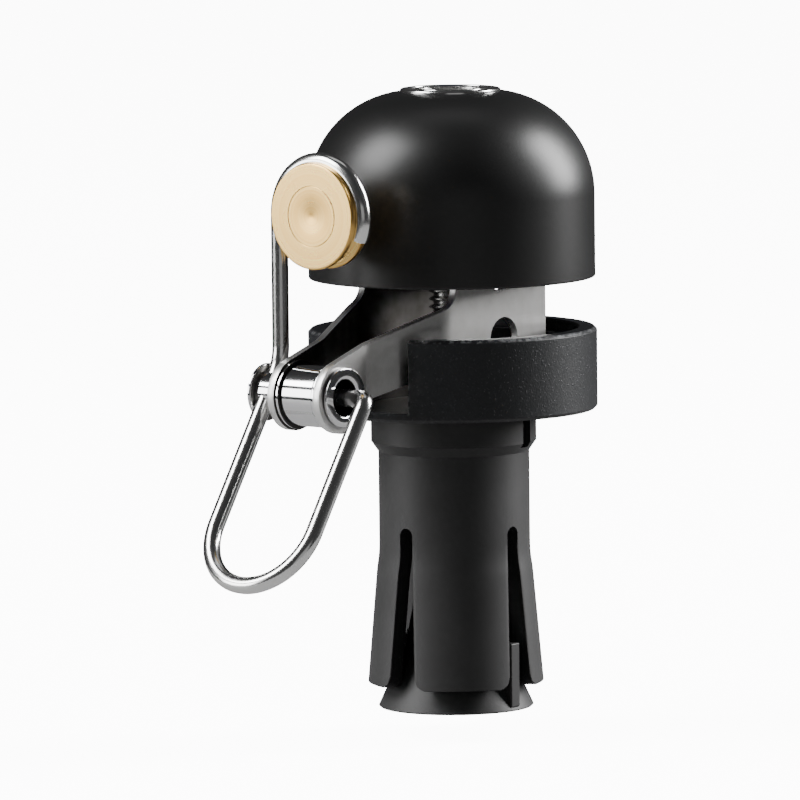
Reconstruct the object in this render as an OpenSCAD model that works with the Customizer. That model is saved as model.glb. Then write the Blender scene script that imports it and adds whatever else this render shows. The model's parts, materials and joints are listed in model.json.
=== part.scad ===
// Bicycle bell on an expander plug, for the open top of a steering or handle post.
// Origin: centre of the ring cap's underside, where the post's end face seats.
// +Z is up along the plug's axis, and the hammer and the thumb loop face -Y.

/* [Dome] */
// Outside diameter of the dome
dome_d = 36; // [33:0.5:44]
// Wall of the dome
dome_wall = 1.8; // [1.2:0.1:2.2]
// Height of the dome's straight side
dome_side_h = 10.5; // [9:0.5:16]
// Radius of the dome's shoulder
dome_shoulder_r = 13; // [9:0.5:14]
// Gap between the ring cap and the dome's rim
dome_gap = 6.3; // [5:0.1:9]
// Chamfer along the dome's rim
dome_rim_chamfer = 0.25; // [0.1:0.05:0.4]

/* [Crown] */
// Diameter of the silver disc on the crown
disc_d = 12.6; // [11:0.2:15]
// How deep the disc is let into the crown
disc_inset = 0.6; // [0.3:0.1:0.8]
// How far the disc stands above the crown
disc_proud = 0.25; // [0.1:0.05:0.6]
// Chamfer round the disc's top edge
disc_chamfer = 0.2; // [0.05:0.05:0.25]
// Diameter of the disc's boss, which passes through the dome
boss_d = 9.4; // [9:0.2:10]
// How far that boss reaches below the dome's ceiling
boss_drop = 0.4; // [0.2:0.1:0.8]
// Height of the head's seat above the dome's ceiling
head_rise = 0.3; // [0.2:0.05:0.5]
// Diameter of the nylon bush under the crown
bush_d = 14; // [12:0.5:18]
// Depth of the nylon bush
bush_h = 1.8; // [1.4:0.1:3]
// Outside diameter of the steel washer under the bush
post_washer_d = 12; // [10:0.5:14]
// Thickness of that washer
post_washer_t = 0.8; // [0.5:0.1:1.6]
// Outside diameter of the spacer tube that carries the dome
post_d = 8.4; // [7.6:0.2:10]

/* [Centre bolt] */
// Thread diameter of the centre bolt
bolt_d = 5.9; // [5:0.1:6]
// How far the bolt's end stays inside the wedge cone's end face
bolt_end_rise = 1.35; // [0.5:0.05:3]
// Diameter of the bolt's low head
bolt_head_d = 7.6; // [7:0.1:7.8]
// Height of the bolt's low head
bolt_head_h = 1.4; // [1.2:0.1:1.6]
// Across flats of the key socket in the head
bolt_key = 4; // [3:0.5:4]
// Depth of the key socket
bolt_key_depth = 1.1; // [0.8:0.1:1.2]

/* [Ring cap] */
// Outside diameter of the ring cap
cap_d = 36.3; // [34:0.1:44]
// Height of the ring cap
cap_h = 10.3; // [9:0.1:13]
// Wall of the ring cap at its rim
cap_wall = 2.4; // [1.6:0.1:2.8]
// Floor of the ring cap
cap_floor = 1.2; // [1:0.1:2]
// Width of the ledge inside the rim
cap_ledge = 2.2; // [1.2:0.1:2.4]
// Depth from the rim to that ledge
cap_ledge_drop = 1.4; // [0.8:0.1:3]
// Depth of the recess under the floor that the collar's end sits in
cap_recess = 0.1; // [0.1:0.05:0.4]
// Chamfer along the ring cap's outer edges
cap_chamfer = 0.4; // [0.1:0.05:0.6]
// Wall of the spigot under the ring cap
spigot_wall = 2; // [1.4:0.1:2.4]
// How far the spigot stops short of the collar's lower end
spigot_short = 0.6; // [0.3:0.1:1]
// Height of the spigot's bayonet lugs
lug_h = 1.6; // [1:0.1:2]
// How far the lugs reach into the collar's wall
lug_reach = 1.26; // [0.8:0.02:1.4]

/* [Bracket] */
// Thickness of the stamped sheet
sheet_t = 1.0; // [0.8:0.1:1.2]
// Distance over the outer faces of the two walls
walls_w = 15.8; // [15:0.1:16]
// Front edge of the walls, measured from the axis
wall_front = 8.7; // [8:0.1:9.2]
// Rear edge of the walls, measured from the axis
wall_rear = 8.8; // [8:0.1:9.4]
// Height of the walls' top above the dome's rim
wall_rise = 4.9; // [3:0.1:8]
// Distance over the outer faces of the two ears
ears_w = 8.4; // [8:0.1:9]
// Width of the ear's metal round the axle
ear_rim = 1.75; // [1.4:0.05:2]
// Length of the walls' plane past their front edge, before the arms close in
wall_straight = 1.8; // [1:0.1:3]
// Length of the ears' plane behind the pivot, after the arms have closed in
ear_straight = 4.8; // [4.6:0.1:6]
// Slope of the arms' top edge
arm_top_slope = 18; // [14:0.5:20]
// Slope of the arms' bottom edge
arm_bottom_slope = 16; // [12:0.5:18]
// Height of the arms' bottom edge above the pivot, at the rear of the ears
arm_bottom_rise = -0.8; // [-1.5:0.1:0]
// Outside radius of the bend beside the wall
wall_bend_r = 7; // [4:0.5:9]
// Outside radius of the bend beside the ear
ear_bend_r = 4; // [2:0.5:5]
// Inside radius where the wall meets the arm's top edge
arm_fillet = 2.6; // [1:0.1:4]
// Width of the arched window in the near wall
arch_w = 5.3; // [4:0.1:7]
// Top of the arched window above the ring cap's floor
arch_top = 10.7; // [8:0.1:11]
// Middle of the window behind the axis
arch_y = 0.6; // [-1:0.1:1]
// Foot of the window above the ring cap's floor
arch_foot = 2; // [1:0.1:4]
// Diameter of the round hole above the window
cross_hole_d = 5; // [3:0.1:5.2]
// Centre of that hole above the dome's rim
cross_hole_rise = 1.2; // [0:0.1:1.4]
// Width of the bridge that joins the walls at their top
bridge_w = 12; // [10:0.5:15]

/* [Pivot] */
// Distance from the ring cap's outside to the pivot
pivot_out = 8.05; // [7:0.05:10]
// Height of the pivot above the ring cap's underside
pivot_h = 3.87; // [3.4:0.01:4.6]
// Wall of the barrel between the ears
barrel_wall = 0.5; // [0.4:0.05:0.6]
// Thickness of the washers beside the barrel
pivot_washer_t = 0.55; // [0.3:0.05:0.8]
// How far those washers stand out past the barrel
washer_rim = 0.4; // [0:0.05:0.6]
// Outside diameter of the hollow axle
axle_d = 5.5; // [5.3:0.1:5.6]
// Wall of the hollow axle
axle_wall = 0.5; // [0.45:0.05:0.9]
// How far the axle's near flange stands out past the axle
flange_rim = 0.95; // [0.5:0.05:1.4]
// Thickness of the axle's near flange
axle_flange_t = 0.5; // [0.3:0.05:0.8]
// How far the disc at the far end stands out past the axle
axle_disc_rim = 0.85; // [0.4:0.05:1.4]
// Thickness of that disc
axle_disc_t = 0.55; // [0.4:0.05:1]
// Wire diameter of the return spring
spring_wire = 0.4; // [0.3:0.05:0.45]
// Number of turns of the return spring
spring_turns = 5; // [3:1:7]

/* [Striker] */
// Diameter of the striker's wire
wire_d = 2.15; // [1.8:0.05:2.3]
// Centre of the thumb loop's near leg, from the middle of the bell
near_leg_x = 9.1; // [8:0.1:10]
// Slope of the thumb loop away from the plug
loop_tilt = 33; // [25:1:38]
// Length of the thumb loop from the pivot's level to its end
loop_l = 26.9; // [22:0.1:30]
// How far the loop's plane passes in front of the pivot
loop_offset = 1.17; // [1.05:0.01:1.2]
// Bend radius where the near leg hooks into the axle
hook_r = 3.6; // [2.5:0.1:4]
// How far the hooked end reaches into the axle
hook_reach = 8; // [5:0.1:9]
// How far the hammer's middle stands in front of the pivot's plane, towards the dome
hammer_set = 1.1; // [0.8:0.1:1.6]
// Height of the hammer's centre above the pivot
hammer_rise = 22.23; // [20:0.01:24]
// Diameter of the hammer
hammer_d = 13.2; // [11.6:0.1:13.4]
// Thickness of the hammer
hammer_t = 3.6; // [3:0.1:4]
// Chamfer along the hammer's edges
hammer_chamfer = 0.2; // [0.1:0.05:0.4]
// How far the wire's centre stands outside the hammer's rim
wire_set = 0.15; // [0:0.05:0.4]
// Wrap of the wire past the hammer's near side
wire_wrap = 24; // [10:1:40]

/* [Expander sleeve] */
// Diameter of the collar under the ring cap
collar_d = 20.8; // [20.4:0.1:21.6]
// Length of the collar
collar_l = 4.2; // [3.8:0.1:6]
// Wall of the collar
collar_wall = 1.8; // [1.4:0.1:2]
// Diameter of the sleeve and of the closed fingers
sleeve_d = 19; // [18.6:0.1:20]
// Wall of the sleeve and of the fingers
sleeve_wall = 2.5; // [2.2:0.1:2.8]
// Height of the taper from the collar to the sleeve
sleeve_taper = 1.0; // [0.5:0.1:2]
// Thickness of the web inside the sleeve
web_t = 2.0; // [1.5:0.1:3]
// Depth of the fingers' roots below the ring cap
root_depth = 16.5; // [15.6:0.1:18]
// Length of the fingers below their roots
finger_l = 18.1; // [16:0.1:20]
// Width of the slots between closed fingers
slot_w = 2.0; // [1.8:0.1:2.4]
// Height of the slots' round tops above the fingers' roots
slot_rise = 2.2; // [1.5:0.1:3]
// Spread of the fingers at rest
finger_spread = 5; // [3:0.5:6]
// Radius of the fingers' lower corners
finger_corner = 1.6; // [0.5:0.1:2.5]
// Height of the bevel inside the fingers' tips, which bears on the cone
finger_bevel = 0.8; // [0.4:0.1:1.5]
// Width of a bayonet slot's leg
bayonet_leg_w = 1.9; // [1.5:0.1:2.2]
// Turn of a bayonet slot's leg from +X
bayonet_turn = 12; // [6:1:20]
// Height of a bayonet slot's cross part
bayonet_cross_h = 0.9; // [0.6:0.1:1.2]
// Width of a bayonet slot's cross part
bayonet_cross_w = 4.9; // [3.5:0.1:6]
// Turn from a bayonet slot's leg to the middle of its cross part
bayonet_cross_turn = 8.5; // [6:0.5:12]

/* [Wedge] */
// Length of the wedge cone's flared part
cone_l = 8.2; // [7:0.1:9]
// Slope of the cone from the axis
cone_slope = 24; // [20:0.5:26]
// How far the cone's end stands below the closed fingers' tips
cone_drop = 3; // [3:0.1:4]
// Chamfer along the cone's lower edge
cone_chamfer = 0.2; // [0.1:0.05:0.4]
// Length of the nose above the flared part
nose_l = 8.5; // [6:0.1:10]
// Slope of the nose from the axis
nose_slope = 10; // [6:0.5:14]
// Height of the plain land between the nose and the flared part
land_h = 1.5; // [1:0.1:2]
// Step from that land to the nose, on the radius
land_step = 0.15; // [0.05:0.05:0.4]
// Height of the ribs that key the cone into the slots
rib_h = 8.1; // [6:0.1:8.6]
// Height of the ribs' lower end above the cone's end face
rib_rise = 0.5; // [0.3:0.1:1.5]
// How far the ribs stand out past the closed fingers
rib_proud = 0.2; // [0:0.05:0.4]
// Across flats of the nut in the wedge cone
nut_af = 10; // [9:0.1:10]
// Height of that nut
nut_h = 5; // [4:0.1:5.2]
// Depth of the nut inside the cone's end face
nut_depth = 1; // [0.4:0.1:1.5]

/* [Fits] */
// Running clearance of a turning or sliding pair, on the radius
run_gap = 0.05; // [0.02:0.01:0.08]
// Clearance of a fixed pair, on the radius
fixed_gap = 0.02; // [0.01:0.01:0.05]
// Side clearance between parts that pass each other
side_gap = 0.05; // [0.04:0.01:0.1]
// Gap between a finger and the sleeve's stub above it
root_gap = 0.2; // [0.15:0.05:0.3]
// Clearance of a plain hole round the bolt
hole_gap = 0.3; // [0.2:0.05:0.5]
// Gap between the cone and the fingers' bevels
cone_gap = 0.1; // [0.05:0.01:0.3]
// Side clearance of the ribs and the bayonet lugs in their slots
slot_gap = 0.15; // [0.1:0.01:0.25]
// Gap between the bracket's walls and the ring cap's pocket
pocket_gap = 0.5; // [0.3:0.1:0.8]
// Gap between the bracket's arms and the ring cap's notch
notch_gap = 0.68; // [0.4:0.02:1]
// Room round the return spring's wire, on the radius
spring_room = 0.25; // [0.2:0.01:0.4]
// Gap at each end of the return spring
spring_end_gap = 0.2; // [0.1:0.05:0.5]
// End clearance of the disc's boss in the bush
boss_gap = 0.1; // [0.05:0.05:0.3]

/* [Hidden] */
$fn = 96;
eps = 0.01;
over = 1;

black_paint = [0.10, 0.10, 0.10];
black_cast = [0.13, 0.14, 0.15];
black_plastic = [0.20, 0.20, 0.20];
natural_nylon = [0.85, 0.84, 0.80];
stainless = [0.78, 0.78, 0.77];
chrome_plate = [0.88, 0.88, 0.90];
zinc_plate = [0.62, 0.62, 0.60];
turned_brass = [0.87, 0.73, 0.45];

// Heights along the plug's axis
rim_z = cap_h + dome_gap;
shoulder_z = rim_z + dome_side_h;
crown_z = shoulder_z + dome_shoulder_r;
ceiling_z = crown_z - dome_wall;
disc_top_z = crown_z + disc_proud;
boss_z = ceiling_z - boss_drop;
head_z = ceiling_z + head_rise;
bush_z = ceiling_z - bush_h;
washer_z = bush_z - post_washer_t;
bridge_top_z = rim_z + wall_rise;
bridge_z = bridge_top_z - sheet_t;
tip_z = -root_depth - finger_l;
cone_z = tip_z - cone_drop;
bolt_end_z = cone_z + bolt_end_rise;

// Radii about the plug's axis
dome_r = dome_d / 2;
cap_r = cap_d / 2;
cap_inner_r = cap_r - cap_wall;
ledge_r = cap_inner_r - cap_ledge;
collar_r = collar_d / 2;
collar_inner_r = collar_r - collar_wall;
sleeve_r = sleeve_d / 2;
bore_r = sleeve_r - sleeve_wall;
hinge_r = sleeve_r - sleeve_wall / 2;
rib_w = slot_w - 2 * slot_gap;
ribs_span = sleeve_d + 2 * rib_proud;
bolt_r = bolt_d / 2;
hole_r = bolt_r + hole_gap;

// A finger's side edge, closed at radius r and a height up above its tip, as [radius, z] when spread
function spread_edge(r, up) = let (
        along = sqrt(pow(r, 2) - pow(slot_w / 2, 2)),
        inward = hinge_r - (along + slot_w / 2) / sqrt(2),
        down = finger_l - up,
        out = hinge_r - inward * cos(finger_spread) + down * sin(finger_spread)
    )
    [norm([out, (along - slot_w / 2) / sqrt(2)]),
        -root_depth - inward * sin(finger_spread) - down * cos(finger_spread)];

// Radius of the cone's end that brings its flank to such an edge
function cone_to(edge) = edge[0] + (edge[1] - cone_z) * tan(cone_slope);

bevel_w = finger_bevel * tan(cone_slope - finger_spread);
cone_reach = min(cone_to(spread_edge(bore_r, finger_bevel)), cone_to(spread_edge(bore_r + bevel_w, 0)));
cone_r = cone_reach - cone_gap / cos(cone_slope);
land_r = cone_r - cone_l * tan(cone_slope);
nose_r = land_r - nose_l * tan(nose_slope);
head_pocket_r = bolt_head_d / 2 + run_gap;

// The pivot's axis runs along X through this point of the YZ plane
pivot_reach = cap_r + pivot_out;
pivot = [-pivot_reach, pivot_h];
axle_r = axle_d / 2;
axle_bore_r = axle_r - axle_wall;
ear_x = ears_w / 2;
ear_r = axle_r + ear_rim;
barrel_inner_r = axle_r + spring_wire + spring_room;
barrel_r = barrel_inner_r + barrel_wall;
wire_r = wire_d / 2;
far_run_x = hammer_d / 2 + wire_set;
arm_bend_start = wall_front + wall_straight;
arm_bend_end = pivot_reach - ear_straight;
far_end_x = -far_run_x - wire_r - side_gap;
barrel_l = ears_w - 2 * sheet_t - 2 * pivot_washer_t - 2 * side_gap;

// Shared shapes

module tube(r_out, r_in, h) {
    difference() {
        cylinder(r = r_out, h = h);
        translate([0, 0, -over])
            cylinder(r = r_in, h = h + 2 * over);
    }
}

// A bar of circular section along X, from x0, about the pivot's axis
module on_pivot(x0) {
    translate([x0, pivot[0], pivot[1]])
        rotate([0, 90, 0])
            children();
}

// Extrudes a YZ outline across the whole width of the bell
module across(width) {
    translate([-width / 2, 0, 0])
        rotate([90, 0, 90])
            linear_extrude(height = width)
                children();
}

// Dome and crown

module dome_section(r, shoulder, top) {
    square([r, dome_side_h]);
    square([r - shoulder, top]);
    translate([r - shoulder, dome_side_h])
        intersection() {
            circle(r = shoulder);
            square(shoulder);
        }
}

module rim_chamfer_cut(r, side) {
    polygon([[r + side * eps, -eps], [r - side * dome_rim_chamfer, -eps],
        [r + side * eps, dome_rim_chamfer]]);
}

module dome() {
    inner_r = dome_r - dome_wall;
    color(black_paint)
        difference() {
            translate([0, 0, rim_z])
                rotate_extrude()
                    difference() {
                        dome_section(dome_r, dome_shoulder_r, crown_z - rim_z);
                        translate([0, -eps])
                            square([inner_r, 2 * eps]);
                        dome_section(inner_r, dome_shoulder_r - dome_wall, ceiling_z - rim_z);
                        rim_chamfer_cut(dome_r, 1);
                        rim_chamfer_cut(inner_r, -1);
                    }
            translate([0, 0, crown_z - disc_inset])
                cylinder(d = disc_d + 2 * fixed_gap, h = over);
            translate([0, 0, ceiling_z - over])
                cylinder(d = boss_d + 2 * fixed_gap, h = dome_wall + 2 * over);
        }
}

// Silver disc with a sunk pocket for the bolt's head and a plain sight ring
module crown_disc() {
    disc_r = disc_d / 2;
    disc_h = disc_inset + disc_proud;
    color(stainless)
        difference() {
            union() {
                translate([0, 0, disc_top_z - disc_h])
                    cylinder(r = disc_r, h = disc_h - disc_chamfer);
                translate([0, 0, disc_top_z - disc_chamfer])
                    cylinder(r1 = disc_r, r2 = disc_r - disc_chamfer, h = disc_chamfer);
                translate([0, 0, boss_z])
                    cylinder(d = boss_d, h = disc_top_z - boss_z - disc_h / 2);
            }
            translate([0, 0, head_z])
                cylinder(r = head_pocket_r, h = disc_top_z - head_z + over);
            translate([0, 0, boss_z - over])
                cylinder(r = bolt_r + run_gap, h = head_z - boss_z + 2 * over);
        }
}

// Bush that carries the dome on nylon; its rim follows the dome's ceiling
module dome_bush() {
    inner_r = dome_r - dome_wall;
    color(natural_nylon)
        difference() {
            intersection() {
                translate([0, 0, bush_z])
                    cylinder(d = bush_d, h = bush_h);
                translate([0, 0, rim_z])
                    rotate_extrude()
                        dome_section(inner_r - side_gap, dome_shoulder_r - dome_wall - side_gap,
                            ceiling_z - rim_z);
            }
            translate([0, 0, boss_z - boss_gap])
                cylinder(d = boss_d + 2 * fixed_gap, h = over);
            translate([0, 0, bush_z - over])
                cylinder(r = hole_r, h = bush_h + 2 * over);
        }
}

module post_washer() {
    color(zinc_plate)
        translate([0, 0, washer_z])
            tube(post_washer_d / 2, hole_r, post_washer_t);
}

module dome_post() {
    color(zinc_plate)
        translate([0, 0, bridge_top_z])
            tube(post_d / 2, hole_r, washer_z - bridge_top_z);
}

// Centre bolt: its head turns in the crown disc and its thread draws the wedge up
module centre_bolt() {
    color(zinc_plate)
        difference() {
            union() {
                translate([0, 0, head_z + side_gap])
                    cylinder(d = bolt_head_d, h = bolt_head_h);
                translate([0, 0, bolt_end_z])
                    cylinder(r = bolt_r, h = head_z - bolt_end_z + bolt_head_h / 2);
            }
            translate([0, 0, head_z + side_gap + bolt_head_h - bolt_key_depth])
                cylinder(d = bolt_key / cos(30), h = bolt_key_depth + over, $fn = 6);
        }
}

// Ring cap

module ring_cap_section() {
    ledge_z = cap_h - cap_ledge_drop;
    recess_r = collar_r + side_gap;
    polygon([[0, cap_recess], [recess_r, cap_recess], [recess_r, 0],
        [cap_r - cap_chamfer, 0], [cap_r, cap_chamfer],
        [cap_r, cap_h - cap_chamfer], [cap_r - cap_chamfer, cap_h],
        [cap_inner_r + cap_chamfer / 2, cap_h], [cap_inner_r, cap_h - cap_chamfer / 2],
        [cap_inner_r, ledge_z], [ledge_r, ledge_z], [ledge_r, cap_floor], [0, cap_floor]]);
}

// Half the distance over the bracket's arms at a distance y in front of the axis
function arm_x(y) = walls_w / 2
    - (y - arm_bend_start) * (walls_w - ears_w) / 2 / (arm_bend_end - arm_bend_start);

// Notch for the bracket's arms, and the wider pocket behind it for its walls
module notch_cut() {
    notch_x = arm_x(cap_inner_r) + notch_gap;
    pocket_x = walls_w / 2 + pocket_gap;
    translate([-notch_x, -cap_r - over, cap_floor])
        cube([2 * notch_x, cap_r, cap_h]);
    translate([-pocket_x, -cap_inner_r, cap_floor])
        cube([2 * pocket_x, cap_inner_r + wall_rear + pocket_gap, cap_h]);
}

// Spigot under the floor, with two lugs that lock in the collar's bayonet slots
module cap_spigot() {
    spigot_r = collar_inner_r - fixed_gap;
    spigot_l = collar_l - spigot_short;
    lug_w = bayonet_leg_w - 2 * slot_gap;
    translate([0, 0, -spigot_l])
        tube(spigot_r, spigot_r - spigot_wall, spigot_l + cap_recess + eps);
    for (side = [0, 180])
        rotate([0, 0, side + bayonet_turn])
            translate([spigot_r - over, -lug_w / 2, -spigot_l])
                cube([over + lug_reach, lug_w, lug_h]);
}

module ring_cap() {
    color(black_cast)
        difference() {
            union() {
                rotate_extrude()
                    ring_cap_section();
                cap_spigot();
            }
            notch_cut();
            translate([0, 0, -over])
                cylinder(r = hole_r, h = cap_floor + 2 * over);
        }
}

// Bracket: two walls joined by a bridge, running forward as arms that end in the ears

// Height of the arms' top edge at a distance y along Y
function arm_top(y) = pivot[1] + ear_r * cos(arm_top_slope)
    + (y - pivot[0] + ear_r * sin(arm_top_slope)) * tan(arm_top_slope);

// Height of the arms' bottom edge
function arm_bottom(y) = pivot[1] + arm_bottom_rise
    + (y - pivot[0] - ear_r) * tan(arm_bottom_slope);

module arm_fillet_fill() {
    fillet_y = -wall_front - arm_fillet;
    fillet_z = arm_top(fillet_y) + arm_fillet / cos(arm_top_slope);
    difference() {
        polygon([[-wall_front + eps, fillet_z],
            [-wall_front + eps, arm_top(-wall_front) - eps],
            [fillet_y + arm_fillet * sin(arm_top_slope), arm_top(fillet_y
                + arm_fillet * sin(arm_top_slope)) - eps]]);
        translate([fillet_y, fillet_z])
            circle(r = arm_fillet);
    }
}

module bracket_side() {
    tangent_y = pivot[0] - ear_r * sin(arm_top_slope);
    difference() {
        union() {
            translate([-wall_front, cap_floor])
                square([wall_front + wall_rear, bridge_top_z - cap_floor]);
            polygon([[tangent_y, arm_top(tangent_y)], [0, arm_top(0)], [0, arm_bottom(0)],
                [pivot[0] + ear_r, arm_bottom(pivot[0] + ear_r)], pivot]);
            arm_fillet_fill();
            translate(pivot)
                circle(r = ear_r);
        }
        translate(pivot)
            circle(r = axle_r + run_gap);
    }
}

// Arched window and round hole in the wall on the loop's hooked side
module near_wall_openings() {
    translate([(walls_w - sheet_t) / 2, 0, 0])
        across(sheet_t + 2 * over) {
            translate([arch_y, cap_floor + arch_top - arch_w / 2])
                circle(d = arch_w);
            translate([arch_y - arch_w / 2, cap_floor + arch_foot])
                square([arch_w, arch_top - arch_w / 2 - arch_foot]);
            translate([0, rim_z + cross_hole_rise])
                circle(d = cross_hole_d);
        }
}

// Points of the rounded corner i of a path; path holds [x, y, corner radius]
arc_steps = 8;
function unit(v) = v / norm(v);
function corner(path, i) = let (
        p = [path[i][0], path[i][1]],
        a = unit([path[i - 1][0], path[i - 1][1]] - p),
        b = unit([path[i + 1][0], path[i + 1][1]] - p),
        half = acos(a * b) / 2,
        r = path[i][2],
        centre = p + unit(a + b) * r / sin(half),
        start = p + a * r / tan(half) - centre,
        turn = 180 - 2 * half,
        sense = sign(a[0] * b[1] - a[1] * b[0])
    )
    [for (k = [0:arc_steps]) let (t = -sense * turn * k / arc_steps)
        centre + [start[0] * cos(t) - start[1] * sin(t), start[0] * sin(t) + start[1] * cos(t)]];

// Plan of one wall, arm and ear, as a strip of even thickness
module bracket_strip() {
    outer_x = walls_w / 2;
    lean = atan2(outer_x - ear_x, arm_bend_end - arm_bend_start);
    shift = sheet_t * tan(lean / 2);
    far_y = pivot[0] - ear_r - over;
    inner_x = outer_x - sheet_t;
    ear_inner_x = ear_x - sheet_t;
    outer = [[outer_x, wall_rear, 0], [outer_x, -arm_bend_start, wall_bend_r],
        [ear_x, -arm_bend_end, ear_bend_r - sheet_t], [ear_x, far_y, 0]];
    inner = [[inner_x, wall_rear, 0], [inner_x, -arm_bend_start + shift, wall_bend_r - sheet_t],
        [ear_inner_x, -arm_bend_end + shift, ear_bend_r], [ear_inner_x, far_y, 0]];
    outer_points = concat([[outer_x, wall_rear]], corner(outer, 1), corner(outer, 2), [[ear_x, far_y]]);
    back = [arc_steps:-1:0];
    inner_points = concat([[ear_inner_x, far_y]], [for (i = back) corner(inner, 2)[i]],
        [for (i = back) corner(inner, 1)[i]], [[inner_x, wall_rear]]);
    polygon(concat(outer_points, inner_points));
}

module bracket_half() {
    intersection() {
        translate([0, 0, -ear_r])
            linear_extrude(height = bridge_top_z + 2 * ear_r)
                bracket_strip();
        across(walls_w + 2 * over)
            bracket_side();
    }
}

module bracket() {
    color(stainless)
        difference() {
            union() {
                bracket_half();
                mirror([1, 0, 0])
                    bracket_half();
                translate([-walls_w / 2 + eps, -bridge_w / 2, bridge_z])
                    cube([walls_w - 2 * eps, bridge_w, sheet_t]);
            }
            translate([0, 0, bridge_z - over])
                cylinder(r = hole_r, h = sheet_t + 2 * over);
            near_wall_openings();
        }
}

// Pivot

module pivot_barrel() {
    color(chrome_plate)
        on_pivot(-barrel_l / 2)
            tube(barrel_r, barrel_inner_r, barrel_l);
}

module pivot_washer(side) {
    inner_x = barrel_l / 2 + side_gap / 2;
    color(chrome_plate)
        on_pivot(side > 0 ? inner_x : -inner_x - pivot_washer_t)
            tube(barrel_r + washer_rim, axle_r + run_gap, pivot_washer_t);
}

module washer_near() {
    pivot_washer(1);
}

module washer_far() {
    pivot_washer(-1);
}

// Far leg of the loop where it passes through the axle, as a straight bar
module far_leg_bar(r) {
    translate([-far_run_x, pivot[0], pivot[1]])
        rotate([-loop_tilt, 0, 0])
            translate([0, -loop_offset, -ear_r])
                cylinder(r = r, h = 2 * ear_r);
}

// Hollow axle: flanged at the near ear, cross-drilled at its far end for the wire
module pivot_axle() {
    flange_x = ear_x + side_gap;
    bore_end_x = -ear_x - side_gap;
    color(chrome_plate)
        difference() {
            union() {
                on_pivot(far_end_x + fixed_gap)
                    cylinder(r = axle_r, h = flange_x - far_end_x);
                on_pivot(flange_x)
                    cylinder(r = axle_r + flange_rim, h = axle_flange_t);
            }
            on_pivot(bore_end_x)
                cylinder(r = axle_bore_r, h = flange_x - bore_end_x + axle_flange_t + over);
            far_leg_bar(wire_r + fixed_gap);
        }
}

module axle_disc() {
    color(chrome_plate)
        on_pivot(far_end_x - axle_disc_t)
            cylinder(r = axle_r + axle_disc_rim, h = axle_disc_t);
}

// Sweeps a round bar along points; each ring is square to the path at its point
function path_dir(p, i) = unit(p[min(i + 1, len(p) - 1)] - p[max(i - 1, 0)]);
function side_of(d, up) = unit(cross(d, up));
module swept_bar(p, r, up, sides) {
    rings = [for (i = [0:len(p) - 1]) let (d = path_dir(p, i), u = side_of(d, up[i]), v = cross(d, u))
        for (k = [0:sides - 1]) p[i] + r * (u * cos(360 * k / sides) + v * sin(360 * k / sides))];
    walls = [for (i = [0:len(p) - 2]) for (k = [0:sides - 1]) let (j = (k + 1) % sides)
        [i * sides + k, i * sides + j, (i + 1) * sides + j, (i + 1) * sides + k]];
    ends = [[for (k = [sides - 1:-1:0]) k], [for (k = [0:sides - 1]) (len(p) - 1) * sides + k]];
    polyhedron(rings, concat(walls, ends));
}

// Return spring, wound round the axle inside the barrel
module return_spring() {
    steps = 18;
    coil_r = axle_r + run_gap + fixed_gap + spring_wire / 2;
    pitch = (barrel_l - spring_wire - 2 * spring_end_gap) / spring_turns;
    start_x = -pitch * spring_turns / 2;
    path = [for (i = [0:steps * spring_turns]) let (a = 360 * i / steps)
        [start_x + pitch * i / steps, pivot[0] + coil_r * cos(a), pivot[1] + coil_r * sin(a)]];
    color(stainless)
        swept_bar(path, spring_wire / 2, [for (q = path) [1, 0, 0]], 6);
}

// Striker

hammer_c = [0, -pivot_reach + hammer_set, pivot_h + hammer_rise];
wrap_r = far_run_x;
loop_r = (near_leg_x + far_run_x) / 2;
loop_mid_x = (near_leg_x - far_run_x) / 2;
loop_straight = loop_l - loop_r;
leg_dir = [0, -sin(loop_tilt), -cos(loop_tilt)];
leg_normal = [0, -cos(loop_tilt), sin(loop_tilt)];
// Point of the loop's plane nearest the pivot, at a distance x across and s down the leg
function leg_at(x, s) = [x, pivot[0], pivot[1]] + loop_offset * leg_normal + s * leg_dir;
// Where the far leg's line meets the upright run
kink_s = -(hammer_set + loop_offset * cos(loop_tilt)) / sin(loop_tilt);
kink = leg_at(-far_run_x, kink_s);

// Cubic curve through a, with handles b and c, to d
function cubic(a, b, c, d, t) = a * pow(1 - t, 3) + 3 * b * t * pow(1 - t, 2)
    + 3 * c * pow(t, 2) * (1 - t) + d * pow(t, 3);

kink_ease = 2;
hook_ease = hook_r * 0.6;
hook_start = leg_at(near_leg_x, hook_ease);
hook_end = [near_leg_x - hook_r, pivot[0], pivot[1]];
wire_path = concat(
    [for (a = [-wire_wrap:6:180]) hammer_c + wrap_r * [cos(a), 0, sin(a)]],
    [for (t = [0:0.25:1]) cubic(kink + [0, 0, kink_ease], kink + [0, 0, kink_ease / 3],
        kink + leg_dir * kink_ease / 3, kink + leg_dir * kink_ease, t)],
    [for (a = [180:-9:0]) leg_at(loop_mid_x + loop_r * cos(a), loop_straight + loop_r * sin(a))],
    [for (t = [0:0.125:1]) cubic(hook_start, hook_start - leg_dir * hook_ease,
        hook_end + [hook_ease, 0, 0], hook_end, t)],
    [hook_end - [hook_reach, 0, 0]]);

module striker_wire() {
    to_centre = [for (q = wire_path) q[2] > hammer_c[2] - hammer_d ? [0, 1, 0] : -leg_normal];
    color(stainless)
        swept_bar(wire_path, wire_r, to_centre, 12);
}

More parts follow.
